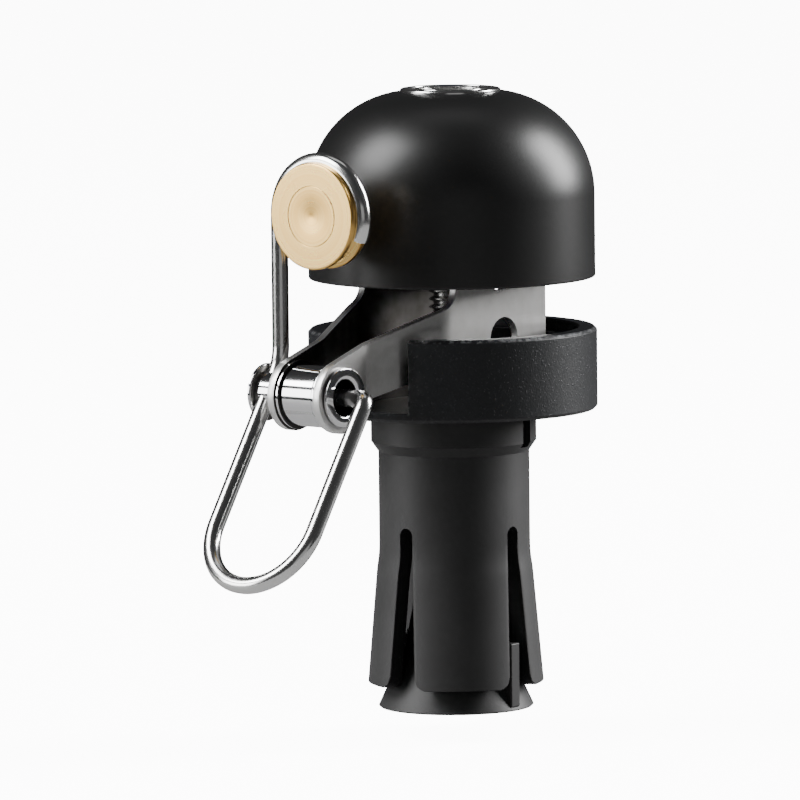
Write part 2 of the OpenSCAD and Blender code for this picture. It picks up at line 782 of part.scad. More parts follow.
module hammer() {
    hammer_r = hammer_d / 2;
    face = hammer_t / 2;
    color(turned_brass)
        translate([hammer_c[0], hammer_c[1], hammer_c[2]])
            rotate([90, 0, 0])
                rotate_extrude()
                    difference() {
                        polygon([[0, -face], [hammer_r - hammer_chamfer, -face],
                            [hammer_r, -face + hammer_chamfer], [hammer_r, face - hammer_chamfer],
                            [hammer_r - hammer_chamfer, face], [0, face]]);
                        translate([wrap_r, 0])
                            circle(r = wire_r + fixed_gap);
                    }
}

// Expander sleeve and its fingers

// Two L-shaped slots; each leg opens at the collar's lower end
module bayonet_cut() {
    reach = collar_wall + 2 * over;
    leg_l = collar_l + sleeve_taper / 3;
    for (side = [0, 180])
        rotate([0, 0, side]) {
            rotate([0, 0, bayonet_turn])
                translate([collar_inner_r - over, -bayonet_leg_w / 2, -leg_l])
                    cube([reach, bayonet_leg_w, leg_l + over]);
            rotate([0, 0, bayonet_turn - bayonet_cross_turn])
                translate([collar_inner_r - over, -bayonet_cross_w / 2, -bayonet_cross_h])
                    cube([reach, bayonet_cross_w, bayonet_cross_h + over]);
        }
}

// Upper ends of the slots between the fingers, with round tops
module slot_cut() {
    for (turn = [0:90:270])
        rotate([0, 0, turn])
            translate([bore_r - over, 0, slot_rise - root_depth - slot_w / 2])
                rotate([0, 90, 0]) {
                    cylinder(d = slot_w, h = sleeve_wall + 2 * over);
                    translate([0, -slot_w / 2, 0])
                        cube([finger_l, slot_w, sleeve_wall + 2 * over]);
                }
}

module expander_sleeve() {
    web_z = -collar_l - sleeve_taper;
    color(black_plastic)
        difference() {
            rotate_extrude()
                polygon([[collar_inner_r, cap_recess], [collar_r, cap_recess],
                    [collar_r, -collar_l], [sleeve_r, web_z],
                    [sleeve_r, -root_depth], [bore_r, -root_depth], [bore_r, web_z - web_t],
                    [hole_r, web_z - web_t], [hole_r, web_z], [collar_inner_r, web_z]]);
            bayonet_cut();
            slot_cut();
        }
}

// One closed finger about +X; its bevel lies along the cone when the finger is spread
module closed_finger() {
    half_w = sleeve_r;
    corner_y = (sqrt(pow(sleeve_r, 2) - pow(slot_w / 2, 2)) - slot_w / 2) / sqrt(2);
    intersection() {
        difference() {
            translate([0, 0, tip_z])
                cylinder(r = sleeve_r, h = finger_l - root_gap);
            translate([0, 0, tip_z - over])
                cylinder(r = bore_r, h = finger_l + 2 * over);
            translate([0, 0, tip_z - eps])
                cylinder(r1 = bore_r + bevel_w, r2 = bore_r, h = finger_bevel + eps);
        }
        rotate([0, 0, -45])
            translate([slot_w / 2, slot_w / 2, tip_z - over])
                cube([half_w, half_w, finger_l + 2 * over]);
        rotate([90, 0, 90])
            linear_extrude(height = sleeve_r + over) {
                translate([-corner_y, tip_z + finger_corner])
                    square([2 * corner_y, finger_l]);
                translate([-corner_y + finger_corner, tip_z])
                    square([2 * (corner_y - finger_corner), finger_l]);
                for (side = [-1, 1])
                    translate([side * (corner_y - finger_corner), tip_z + finger_corner])
                        circle(r = finger_corner);
            }
    }
}

// Finger number n, spread about its root
module finger(n) {
    color(black_plastic)
        rotate([0, 0, 90 * n - 135])
            translate([hinge_r, 0, -root_depth])
                rotate([0, -finger_spread, 0])
                    translate([-hinge_r, 0, root_depth])
                        closed_finger();
}

module finger_1() {
    finger(1);
}

module finger_2() {
    finger(2);
}

module finger_3() {
    finger(3);
}

module finger_4() {
    finger(4);
}

// Wedge

module wedge_cone() {
    land_z = cone_z + cone_l;
    color(black_plastic)
        difference() {
            union() {
                rotate_extrude()
                    polygon([[0, cone_z], [cone_r - cone_chamfer, cone_z],
                        [cone_r, cone_z + cone_chamfer], [land_r, land_z],
                        [land_r, land_z + land_h], [land_r - land_step, land_z + land_h],
                        [nose_r, land_z + nose_l], [0, land_z + nose_l]]);
                translate([-ribs_span / 2, -rib_w / 2, cone_z + rib_rise])
                    cube([ribs_span, rib_w, rib_h]);
            }
            translate([0, 0, cone_z - over])
                cylinder(r = hole_r, h = cone_l + nose_l + 2 * over);
            translate([0, 0, cone_z - over])
                cylinder(d = nut_af / cos(30) + 2 * fixed_gap, h = nut_depth + nut_h + over, $fn = 6);
        }
}

module wedge_nut() {
    color(zinc_plate)
        translate([0, 0, cone_z + nut_depth])
            difference() {
                cylinder(d = nut_af / cos(30), h = nut_h, $fn = 6);
                translate([0, 0, -over])
                    cylinder(r = bolt_r + run_gap, h = nut_h + 2 * over);
            }
}

dome();
crown_disc();
dome_bush();
post_washer();
dome_post();
centre_bolt();
bracket();
ring_cap();
pivot_barrel();
washer_near();
washer_far();
pivot_axle();
axle_disc();
return_spring();
striker_wire();
hammer();
expander_sleeve();
finger_1();
finger_2();
finger_3();
finger_4();
wedge_cone();
wedge_nut();
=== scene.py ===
"""Finished look of a dome bell on an expander plug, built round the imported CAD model."""

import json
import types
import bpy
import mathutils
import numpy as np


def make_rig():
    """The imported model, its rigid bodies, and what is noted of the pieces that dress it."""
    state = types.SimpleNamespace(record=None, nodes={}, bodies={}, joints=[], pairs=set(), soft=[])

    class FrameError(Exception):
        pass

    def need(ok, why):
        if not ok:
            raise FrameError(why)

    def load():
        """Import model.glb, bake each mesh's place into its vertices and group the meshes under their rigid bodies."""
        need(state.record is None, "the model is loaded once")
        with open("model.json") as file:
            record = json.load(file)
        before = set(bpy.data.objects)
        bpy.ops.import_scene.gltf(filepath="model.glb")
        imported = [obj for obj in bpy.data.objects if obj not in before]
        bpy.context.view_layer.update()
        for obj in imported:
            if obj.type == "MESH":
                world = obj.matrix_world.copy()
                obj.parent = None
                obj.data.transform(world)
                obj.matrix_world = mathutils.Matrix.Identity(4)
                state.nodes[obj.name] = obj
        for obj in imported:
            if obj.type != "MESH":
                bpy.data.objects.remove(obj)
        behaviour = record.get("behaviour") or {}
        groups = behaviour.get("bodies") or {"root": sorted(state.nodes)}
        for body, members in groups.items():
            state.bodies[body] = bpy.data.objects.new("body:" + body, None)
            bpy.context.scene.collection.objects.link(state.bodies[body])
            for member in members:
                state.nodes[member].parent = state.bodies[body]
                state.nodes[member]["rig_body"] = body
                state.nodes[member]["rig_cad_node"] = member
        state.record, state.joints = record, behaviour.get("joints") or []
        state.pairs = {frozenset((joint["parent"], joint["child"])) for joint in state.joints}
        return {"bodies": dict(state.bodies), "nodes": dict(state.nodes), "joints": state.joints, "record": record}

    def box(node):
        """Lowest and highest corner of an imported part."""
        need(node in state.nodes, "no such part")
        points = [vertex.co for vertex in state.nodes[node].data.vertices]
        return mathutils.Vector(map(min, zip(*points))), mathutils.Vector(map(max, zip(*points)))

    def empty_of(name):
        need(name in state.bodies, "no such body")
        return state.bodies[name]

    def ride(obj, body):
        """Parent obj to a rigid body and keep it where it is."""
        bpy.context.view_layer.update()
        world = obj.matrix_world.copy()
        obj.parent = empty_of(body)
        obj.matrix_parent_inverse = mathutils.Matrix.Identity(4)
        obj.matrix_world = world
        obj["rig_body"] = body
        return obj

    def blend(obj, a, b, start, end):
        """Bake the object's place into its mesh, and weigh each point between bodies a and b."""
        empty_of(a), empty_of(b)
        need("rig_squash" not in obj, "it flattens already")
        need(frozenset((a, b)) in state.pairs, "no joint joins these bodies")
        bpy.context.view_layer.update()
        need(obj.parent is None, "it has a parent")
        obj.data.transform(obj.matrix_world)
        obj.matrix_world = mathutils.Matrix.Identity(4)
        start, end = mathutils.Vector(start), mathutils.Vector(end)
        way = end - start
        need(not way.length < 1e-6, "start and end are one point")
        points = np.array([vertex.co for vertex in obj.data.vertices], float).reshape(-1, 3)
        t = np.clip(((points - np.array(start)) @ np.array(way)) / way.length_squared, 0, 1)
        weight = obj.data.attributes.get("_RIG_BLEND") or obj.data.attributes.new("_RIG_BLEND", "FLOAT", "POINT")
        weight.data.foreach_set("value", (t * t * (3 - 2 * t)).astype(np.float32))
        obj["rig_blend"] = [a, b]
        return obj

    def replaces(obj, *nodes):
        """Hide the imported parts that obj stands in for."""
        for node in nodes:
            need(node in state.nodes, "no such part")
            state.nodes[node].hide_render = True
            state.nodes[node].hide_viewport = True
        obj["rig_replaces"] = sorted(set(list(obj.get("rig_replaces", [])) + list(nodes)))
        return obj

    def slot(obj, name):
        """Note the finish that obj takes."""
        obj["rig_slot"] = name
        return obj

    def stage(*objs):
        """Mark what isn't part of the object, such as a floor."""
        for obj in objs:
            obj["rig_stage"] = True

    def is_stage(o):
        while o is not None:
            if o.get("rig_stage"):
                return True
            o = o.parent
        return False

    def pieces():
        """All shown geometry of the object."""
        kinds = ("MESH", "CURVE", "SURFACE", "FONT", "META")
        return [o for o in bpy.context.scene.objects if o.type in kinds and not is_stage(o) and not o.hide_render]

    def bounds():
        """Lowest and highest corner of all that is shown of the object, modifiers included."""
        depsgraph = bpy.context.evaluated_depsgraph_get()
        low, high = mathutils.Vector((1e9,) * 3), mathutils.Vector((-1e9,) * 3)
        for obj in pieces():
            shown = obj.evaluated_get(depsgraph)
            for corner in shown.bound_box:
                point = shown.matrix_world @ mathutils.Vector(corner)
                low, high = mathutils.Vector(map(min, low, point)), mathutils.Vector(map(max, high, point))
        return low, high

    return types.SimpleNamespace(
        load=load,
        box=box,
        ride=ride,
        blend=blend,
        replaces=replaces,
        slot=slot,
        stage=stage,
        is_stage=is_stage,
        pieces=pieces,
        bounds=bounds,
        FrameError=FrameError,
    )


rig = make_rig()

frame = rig.load()
CAD_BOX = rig.bounds()

import json
import logging
import math
from abc import ABC, abstractmethod
from dataclasses import dataclass, field
from enum import Enum
from typing import Callable, Optional, Sequence, Union

import bpy
from mathutils import Matrix, Vector

MM = 0.001
WELD = 1e-7
log = logging.getLogger("bell")

Point = tuple[float, float]
Profile = Sequence[Point]
Colour = tuple[float, float, float]
Link = Union[float, "Number", bpy.types.NodeSocket]
Tint = Union[Colour, bpy.types.NodeSocket]


class Axis(Enum):
    """Directions that a turned piece may lie along."""

    X = (1.0, 0.0, 0.0)
    Y = (0.0, 1.0, 0.0)
    Z = (0.0, 0.0, 1.0)


class Body(Enum):
    """The moving groups of the bell."""

    FRAME = "frame"
    STRIKER = "striker"
    BOLT = "bolt"
    WEDGE = "wedge"


class Slot(Enum):
    """The record's finishes that new pieces stand for."""

    PAINT = "satin_black_paint"
    CROWN = "polished_stainless"
    ZINC = "zinc_plate"
    SHEET = "stamped_stainless"
    CAST = "grained_black_cast"
    CHROME = "chrome_plate"
    WIRE = "polished_wire"
    BRASS = "turned_brass"
    PLASTIC = "black_nylon"


# ---------------------------------------------------------------- shader maths


class Number:
    """A value in a shader; arithmetic on it adds Math nodes."""

    def __init__(self, shader: "Shader", socket: bpy.types.NodeSocket) -> None:
        """Wraps a socket of a shader."""
        self.shader = shader
        self.socket = socket

    def _math(self, operation: str, *values: Link) -> "Number":
        """Adds one Math node and returns its result."""
        node = self.shader.node("ShaderNodeMath", {"operation": operation}, dict(enumerate(values)))
        return Number(self.shader, node.outputs[0])

    def __add__(self, other: Link) -> "Number":
        """self + other."""
        return self._math("ADD", self, other)

    __radd__ = __add__

    def __sub__(self, other: Link) -> "Number":
        """self - other."""
        return self._math("SUBTRACT", self, other)

    def __rsub__(self, other: Link) -> "Number":
        """other - self."""
        return self._math("SUBTRACT", other, self)

    def __mul__(self, other: Link) -> "Number":
        """self * other."""
        return self._math("MULTIPLY", self, other)

    __rmul__ = __mul__

    def __abs__(self) -> "Number":
        """Size of the value."""
        return self._math("ABSOLUTE", self)

    def ramp(self, low: float, high: float) -> "Number":
        """Smooth step from 0 at low to 1 at high.

        Args:
            low: Value where the step begins.
            high: Value where it ends.

        Returns:
            The step, from 0 to 1.
        """
        node = self.shader.node(
            "ShaderNodeMapRange",
            {"interpolation_type": "SMOOTHSTEP"},
            {"Value": self, "From Min": low, "From Max": high, "To Min": 0.0, "To Max": 1.0},
        )
        return Number(self.shader, node.outputs["Result"])

    def near(self, place: float, width: float) -> "Number":
        """1 where the value equals place, fading to 0 at width away on both sides."""
        return 1.0 - abs(self - place).ramp(0.0, width)


class Shader:
    """Node tree of one material."""

    def __init__(self, name: str) -> None:
        """Starts a material with one Principled shader."""
        self.material = bpy.data.materials.new(name)
        self.material.use_nodes = True
        self.tree = self.material.node_tree
        self.tree.nodes.clear()
        self.output = self.tree.nodes.new("ShaderNodeOutputMaterial")
        self.surface = self.tree.nodes.new("ShaderNodeBsdfPrincipled")
        self.tree.links.new(self.surface.outputs[0], self.output.inputs["Surface"])
        self.place = self.node("ShaderNodeTexCoord", {}, {}).outputs["Object"]

    def node(self, kind: str, settings: dict, inputs: dict) -> bpy.types.Node:
        """Adds a node.

        Args:
            kind: Blender's name of the node type.
            settings: Properties that are set first.
            inputs: Values or links by socket name or number.

        Returns:
            The new node.
        """
        node = self.tree.nodes.new(kind)
        for key, value in settings.items():
            setattr(node, key, value)
        for key, value in inputs.items():
            self.feed(node.inputs[key], value)
        return node

    def feed(self, socket: bpy.types.NodeSocket, value: Link) -> None:
        """Links a socket, or sets it where the value is plain."""
        if isinstance(value, Number):
            self.tree.links.new(value.socket, socket)
        elif isinstance(value, bpy.types.NodeSocket):
            self.tree.links.new(value, socket)
        else:
            socket.default_value = value

    def part(self, name: str) -> Number:
        """One coordinate of the object's place: X, Y or Z, in metres."""
        node = self.node("ShaderNodeSeparateXYZ", {}, {0: self.place})
        return Number(self, node.outputs[name])

    def from_axis(self, axis: Axis, centre: Vector) -> Number:
        """Distance from a straight axis.

        Args:
            axis: The axis's direction.
            centre: A point on it.

        Returns:
            The distance, in metres.
        """
        across = tuple(1.0 - part for part in axis.value)
        kind = "ShaderNodeVectorMath"
        shift = self.node(kind, {"operation": "SUBTRACT"}, {0: self.place, 1: tuple(centre)})
        flat = self.node(kind, {"operation": "MULTIPLY"}, {0: shift.outputs[0], 1: across})
        length = self.node(kind, {"operation": "LENGTH"}, {0: flat.outputs[0]})
        return Number(self, length.outputs["Value"])

    def noise(self, size: float, detail: float = 2.0, stretch: Colour = (1.0, 1.0, 1.0)) -> Number:
        """Soft random pattern.

        Args:
            size: Width of its features, in metres.
            detail: Number of finer layers.
            stretch: How much longer the features are along X, Y and Z.

        Returns:
            The pattern, from 0 to 1.
        """
        scale = tuple(1.0 / (size * part) for part in stretch)
        spread = self.node("ShaderNodeMapping", {}, {"Vector": self.place, "Scale": scale})
        inputs = {"Vector": spread.outputs[0], "Scale": 1.0, "Detail": detail}
        node = self.node("ShaderNodeTexNoise", {}, inputs)
        return Number(self, node.outputs[0])

    def bands(self, along: Number, size: float, detail: float = 3.0) -> Number:
        """Random bands that change along one value only.

        Args:
            along: The value, in metres.
            size: Width of a band, in metres.
            detail: Number of finer layers.

        Returns:
            The pattern, from 0 to 1.
        """
        inputs = {"W": along * (1.0 / size), "Scale": 1.0, "Detail": detail}
        node = self.node("ShaderNodeTexNoise", {"noise_dimensions": "1D"}, inputs)
        return Number(self, node.outputs[0])

    def mix(self, share: Link, first: Tint, second: Tint) -> bpy.types.NodeSocket:
        """Mixes two colours.

        Args:
            share: How much of the second shows.
            first: A colour or a link to one.
            second: The same.

        Returns:
            The mixed colour's socket.
        """
        node = self.tree.nodes.new("ShaderNodeMix")
        node.data_type = "RGBA"
        self.feed(node.inputs[0], share)
        for socket, colour in ((node.inputs[6], first), (node.inputs[7], second)):
            self.feed(socket, (*colour, 1.0) if isinstance(colour, tuple) else colour)
        return node.outputs[2]

    def set(self, **values: Union[Link, Colour]) -> None:
        """Sets the surface's sockets; base, rough, metal and coat are short names."""
        names = {
            "base": "Base Color",
            "rough": "Roughness",
            "metal": "Metallic",
            "coat": "Coat Weight",
            "coat_rough": "Coat Roughness",
            "specular": "Specular IOR Level",
        }
        for key, value in values.items():
            self.feed(self.surface.inputs[names[key]], (*value, 1.0) if isinstance(value, tuple) else value)

    def bump(self, height: Number, depth: float) -> None:
        """Raises the surface by a pattern.

        Args:
            height: The pattern, from 0 to 1.
            depth: Real height of a full step, in metres.
        """
        node = self.node("ShaderNodeBump", {}, {"Strength": 1.0, "Distance": depth, "Height": height})
        self.feed(self.surface.inputs["Normal"], node.outputs[0])


# ---------------------------------------------------------------- finishes


@dataclass(frozen=True)
class Finish(ABC):
    """A surface finish that dresses a piece."""

    name: str

    @abstractmethod
    def build(self) -> bpy.types.Material:
        """Makes the finish's material."""

    def dress(self, piece: bpy.types.Object) -> None:
        """Gives the finish to the whole of a piece.

        Args:
            piece: The object to dress.
        """
        material = bpy.data.materials.get(self.name) or self.build()
        if not piece.material_slots:
            piece.data.materials.append(material)
        for slot in piece.material_slots:
            slot.material = material


@dataclass(frozen=True)
class SatinPaint(Finish):
    """Matte black paint with a fine orange peel, thinner along the rim."""

    rim_z: float = 0.0
    colour: Colour = (0.0050, 0.0050, 0.0051)
    shade: Colour = (0.0065, 0.0065, 0.0065)
    bare: Colour = (0.05, 0.05, 0.05)

    def build(self) -> bpy.types.Material:
        """Makes the paint's material."""
        shader = Shader(self.name)
        peel = shader.noise(0.35 * MM, 3.0)
        cloud = shader.noise(9 * MM, 2.0)
        rim = shader.part("Z").near(self.rim_z, 0.22 * MM)
        pale_edge = rim * shader.noise(0.5 * MM, 4.0).ramp(0.42, 0.62)
        paint = shader.mix(cloud, self.colour, self.shade)
        shader.set(
            base=shader.mix(pale_edge * 0.5, paint, self.bare),
            rough=0.345 + cloud * 0.05 + peel * 0.03 - pale_edge * 0.06,
            specular=0.56,
        )
        shader.bump(peel, 0.004 * MM)
        return shader.material


@dataclass(frozen=True)
class TurnedMetal(Finish):
    """Metal with fine rings from turning about an axis."""

    axis: Axis = Axis.Z
    centre: Vector = field(default_factory=Vector)
    colour: Colour = (0.78, 0.78, 0.77)
    shade: Colour = (0.62, 0.62, 0.61)
    rough: float = 0.2
    ring: float = 0.12 * MM
    depth: float = 0.003 * MM
    rings_to: float = 1.0

    def build(self) -> bpy.types.Material:
        """Makes the turned metal's material."""
        shader = Shader(self.name)
        radius = shader.from_axis(self.axis, self.centre)
        inside = 1.0 - radius.ramp(self.rings_to * 0.97, self.rings_to)
        fine = shader.bands(radius, self.ring, 4.0)
        broad = shader.bands(radius, self.ring * 7.0, 2.0)
        smear = shader.noise(2.2 * MM, 3.0)
        dark = broad.ramp(0.36, 0.66) * 0.45 + fine.ramp(0.40, 0.62) * 0.4
        shader.set(
            base=shader.mix(dark, self.colour, self.shade),
            rough=self.rough + broad * 0.07 + smear * 0.05,
            metal=1.0,
        )
        shader.bump((fine * 0.6 + broad * 0.4) * inside, self.depth)
        return shader.material


@dataclass(frozen=True)
class BrightMetal(Finish):
    """Polished or plated metal with faint smears.

    The joints are places along X, each with a width, where dark oil sits.
    """

    colour: Colour = (0.86, 0.86, 0.87)
    shade: Colour = (0.72, 0.72, 0.73)
    rough: float = 0.06
    grain: float = 0.0
    stretch: Colour = (1.0, 1.0, 1.0)
    joints: tuple[tuple[float, float], ...] = ()
    oil: Colour = (0.01, 0.009, 0.008)

    def build(self) -> bpy.types.Material:
        """Makes the bright metal's material."""
        shader = Shader(self.name)
        smear = shader.noise(1.8 * MM, 3.0)
        drawn = shader.noise(0.16 * MM, 3.0, self.stretch)
        base = shader.mix(smear.ramp(0.35, 0.75) * 0.5, self.colour, self.shade)
        rough = self.rough + smear * 0.04 + drawn * 0.03
        if self.joints:
            across = abs(shader.part("X"))
            oil = sum((across.near(place, width) for place, width in self.joints), 0.0)
            oil = oil.ramp(0.15, 0.75)
            base = shader.mix(oil * 0.96, base, self.oil)
            rough = rough + oil * 0.25
        shader.set(base=base, rough=rough, metal=1.0)
        shader.bump(drawn, self.grain)
        return shader.material


@dataclass(frozen=True)
class StampedSheet(Finish):
    """Satin stainless sheet with a fine rolling grain."""

    colour: Colour = (0.60, 0.595, 0.585)
    shade: Colour = (0.52, 0.515, 0.505)
    rough: float = 0.27

    def build(self) -> bpy.types.Material:
        """Makes the sheet's material."""
        shader = Shader(self.name)
        grain = shader.noise(0.10 * MM, 3.0, (1.0, 14.0, 1.0))
        stain = shader.noise(2.6 * MM, 4.0)
        shader.set(
            base=shader.mix(stain.ramp(0.30, 0.80), self.colour, self.shade),
            rough=self.rough + stain * 0.04 + grain * 0.05,
            metal=1.0,
        )
        shader.bump(grain, 0.003 * MM)
        return shader.material


@dataclass(frozen=True)
class GrainedCast(Finish):
    """Blue-black coating with a fine grain, paler in patches along its edges: wear at the foot and the notch, and
    along the top rim wear mixed with a painted highlight.
    """

    radius: float = 18 * MM
    rim_z: float = 10 * MM
    notch_x: float = 6.8 * MM
    colour: Colour = (0.0046, 0.0058, 0.0076)
    fleck: Colour = (0.055, 0.060, 0.068)
    # Colour of the worn patches; along the top rim it also serves as a painted highlight.
    bare: Colour = (0.36, 0.37, 0.38)

    def build(self) -> bpy.types.Material:
        """Makes the coating's material."""
        shader = Shader(self.name)
        grain = shader.noise(0.26 * MM, 3.0)
        speck = shader.noise(0.34 * MM, 2.0).ramp(0.60, 0.72)
        away = shader.from_axis(Axis.Z, Vector())
        height = shader.part("Z")
        # Partly painted highlight: this mask pales the top outer edge, where the light catches it, in the same patches
        # as the wear.
        rim = height.near(self.rim_z - 0.1 * MM, 0.38 * MM) * away.near(self.radius - 0.1 * MM, 0.62 * MM)
        foot = height.near(0.0, 0.5 * MM) * away.near(self.radius, 0.6 * MM)
        front = 1.0 - shader.part("Y").ramp(-0.013, -0.011)
        notch = abs(shader.part("X")).near(self.notch_x, 0.28 * MM) * front
        notch = notch * height.ramp(0.8 * MM, 1.2 * MM)
        patch = shader.noise(0.7 * MM, 4.0).ramp(0.44, 0.60)
        # This mask mixes real wear at the foot and the notch with the painted highlight along the top rim.
        pale_edge = (rim * 0.55 + foot * 0.1 + notch * 0.35) * patch
        coating = shader.mix(speck * 0.35, self.colour, self.fleck)
        shader.set(
            base=shader.mix(pale_edge * 0.8, coating, self.bare),
            rough=0.40 + grain * 0.12 - pale_edge * 0.12,
            metal=pale_edge * 0.6,
            specular=0.5,
        )
        shader.bump(grain * 0.8 + speck * 0.6, 0.034 * MM)
        return shader.material


@dataclass(frozen=True)
class MouldedPlastic(Finish):
    """Smooth moulded plastic with a very fine texture."""

    colour: Colour = (0.0290, 0.0290, 0.0294)
    shade: Colour = (0.0360, 0.0360, 0.0366)
    rough: float = 0.48
    depth: float = 0.004 * MM

    def build(self) -> bpy.types.Material:
        """Makes the plastic's material."""
        shader = Shader(self.name)
        skin = shader.noise(0.22 * MM, 3.0)
        cloud = shader.noise(6 * MM, 2.0)
        shader.set(
            base=shader.mix(cloud.ramp(0.3, 0.7), self.colour, self.shade),
            rough=self.rough + cloud * 0.06 + skin * 0.04,
            specular=0.5,
        )
        shader.bump(skin, self.depth)
        return shader.material


# ---------------------------------------------------------------- mesh work


def take(thing: bpy.types.Object) -> None:
    """Makes an object the active one and the only one selected."""
    bpy.ops.object.select_all(action="DESELECT")
    bpy.context.view_layer.objects.active = thing
    thing.select_set(True)


def modify(piece: bpy.types.Object, kind: str, **settings: object) -> None:
    """Adds one modifier and applies it.

    Args:
        piece: The mesh to change.
        kind: Blender's name of the modifier type.
        settings: The modifier's properties.
    """
    take(piece)
    modifier = piece.modifiers.new(kind.title(), kind)
    for key, value in settings.items():
        setattr(modifier, key, value)
    bpy.ops.object.modifier_apply(modifier=modifier.name)


class Piece:
    """A mesh on the bench. It is drawn and shaped in edit mode with Blender's own tools."""

    def __init__(self, name: str) -> None:
        """Names the piece; nothing is made yet."""
        self.name = name
        self.object: Optional[bpy.types.Object] = None

    def _added(self) -> None:
        """Takes the primitive that was just added as this piece, with its place put into its mesh."""
        self.object = bpy.context.view_layer.objects.active
        self.object.name = self.object.data.name = self.name
        bpy.ops.object.transform_apply(location=True, rotation=True, scale=True)

    def edit(self, mode: str = "VERT") -> None:
        """Enters edit mode with nothing selected."""
        take(self.object)
        bpy.ops.object.mode_set(mode="EDIT")
        bpy.ops.mesh.select_mode(type=mode)
        bpy.ops.mesh.select_all(action="DESELECT")

    def done(self) -> None:
        """Leaves edit mode."""
        bpy.ops.object.mode_set(mode="OBJECT")

    def pick(self, kind: str, test: Callable[[Vector], bool]) -> None:
        """Selects vertices or edges by the place of their middle.

        Args:
            kind: VERT or EDGE.
            test: Says whether a place is wanted.
        """
        self.done()
        mesh = self.object.data
        for items in (mesh.vertices, mesh.edges, mesh.polygons):
            for item in items:
                item.select = False
        if kind == "VERT":
            for vertex in mesh.vertices:
                vertex.select = bool(test(vertex.co))
        else:
            for edge in mesh.edges:
                first, second = (mesh.vertices[index].co for index in edge.vertices)
                edge.select = bool(test((first + second) / 2))
        bpy.ops.object.mode_set(mode="EDIT")
        bpy.ops.mesh.select_mode(type=kind)

    def trim(self, place: Vector, outward: Vector) -> None:
        """Cuts away what lies beyond a plane, and closes the cut.

        Args:
            place: A point of the plane.
            outward: The plane's normal, towards what goes.
        """
        self.edit()
        bpy.ops.mesh.select_all(action="SELECT")
        bpy.ops.mesh.bisect(plane_co=tuple(place), plane_no=tuple(outward), use_fill=True, clear_outer=True)
        self.done()

    def mend(self) -> None:
        """Heals the piece from outside edit mode."""
        self.edit()
        self.heal()

    def draw(self, points: Sequence[Vector], closed: bool) -> None:
        """Draws a chain of edges by extruding one point from place to place.

        Args:
            points: The places, in order.
            closed: Whether the last point is joined to the first.
        """
        bpy.ops.object.select_all(action="DESELECT")
        bpy.ops.mesh.primitive_plane_add(size=0.2 * MM, location=points[0])
        self._added()
        self.edit()
        bpy.ops.mesh.select_all(action="SELECT")
        bpy.ops.mesh.merge(type="CENTER")
        for last, here in zip(points, points[1:]):
            bpy.ops.mesh.extrude_region_move(TRANSFORM_OT_translate={"value": tuple(here - last)})
        if closed:
            first, final = points[0], points[-1]
            self.pick("VERT", lambda place: min((place - first).length, (place - final).length) < WELD)
            bpy.ops.mesh.edge_face_add()
        self.done()

    def turn(
        self, profile: Profile, axis: Axis, centre: Vector, steps: int,
        angle: float = math.tau, start: float = 0.0,
    ) -> None:
        """Draws a profile and spins it about an axis.

        Args:
            profile: Points as distance from the axis and place along it.
            axis: The axis's direction.
            centre: The point of the axis that places along it count from.
            steps: Number of steps round.
            angle: How far to spin.
            start: Where the profile starts, as an angle about the axis.
        """
        along = Vector(axis.value)
        side = Vector((1, 0, 0)) if axis is not Axis.X else Vector((0, 1, 0))
        out = Matrix.Rotation(start, 3, along) @ side
        points = [centre + out * radius + along * height for radius, height in profile]
        whole = abs(angle - math.tau) < 1e-6
        self.draw(points, closed=min(radius for radius, _ in profile) > WELD)
        self.edit()
        bpy.ops.mesh.select_all(action="SELECT")
        bpy.ops.mesh.spin(
            steps=steps, angle=-angle, center=tuple(centre), axis=tuple(along), use_auto_merge=whole
        )
        if not whole:
            self.cap()
        self.heal()

    def cap(self) -> None:
        """Closes every open boundary with a face."""
        bpy.ops.mesh.select_all(action="DESELECT")
        bpy.ops.mesh.select_mode(type="EDGE")
        bpy.ops.mesh.select_non_manifold(
            extend=False, use_wire=False, use_multi_face=False, use_non_contiguous=False, use_verts=False
        )
        bpy.ops.mesh.fill_holes(sides=0)

    def heal(self) -> None:
        """Welds doubles, turns every face outwards and leaves edit mode."""
        bpy.ops.mesh.select_mode(type="VERT")
        bpy.ops.mesh.select_all(action="SELECT")
        bpy.ops.mesh.remove_doubles(threshold=WELD)
        bpy.ops.mesh.delete_loose()
        bpy.ops.mesh.select_all(action="SELECT")
        bpy.ops.mesh.normals_make_consistent(inside=False)
        self.done()

    def copy_of(self, node: str, flat: float = 0.6) -> None:
        """Starts from a copy of a CAD node, with its loose triangles welded and its flat faces made whole.

        Args:
            node: The CAD node's name.
            flat: Largest bend, in degrees, that still counts as flat.
        """
        take(frame["nodes"][node])
        bpy.ops.object.duplicate()
        self.object = bpy.context.view_layer.objects.active
        self.object.parent = None
        for key in [key for key in self.object.keys() if key.startswith("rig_")]:
            del self.object[key]
        self.object.matrix_world = Matrix.Identity(4)
        self.object.name = self.object.data.name = self.name
        self.object.data.materials.clear()
        self.edit()
        bpy.ops.mesh.select_all(action="SELECT")
        bpy.ops.mesh.customdata_custom_splitnormals_clear()
        bpy.ops.mesh.remove_doubles(threshold=WELD)
        bpy.ops.mesh.dissolve_limited(angle_limit=math.radians(flat))
        self.heal()

    def cut(self, *cutters: "Piece", join: bool = False) -> None:
        """Cuts other pieces out of this one, or joins them to it, and removes them.

        Args:
            cutters: The pieces to cut with.
            join: Whether to join them instead.
        """
        for cutter in cutters:
            operation = "UNION" if join else "DIFFERENCE"
            modify(self.object, "BOOLEAN", object=cutter.object, operation=operation, solver="EXACT")
            bpy.data.objects.remove(cutter.object)

    def block(self, low: Vector, high: Vector) -> "Piece":
        """Starts from a cube that fills a box.

        Args:
            low: Lowest corner.
            high: Highest corner.

        Returns:
            This piece.
        """
        bpy.ops.object.select_all(action="DESELECT")
        bpy.ops.mesh.primitive_cube_add(size=1, location=(low + high) / 2, scale=tuple(high - low))
        self._added()
        return self

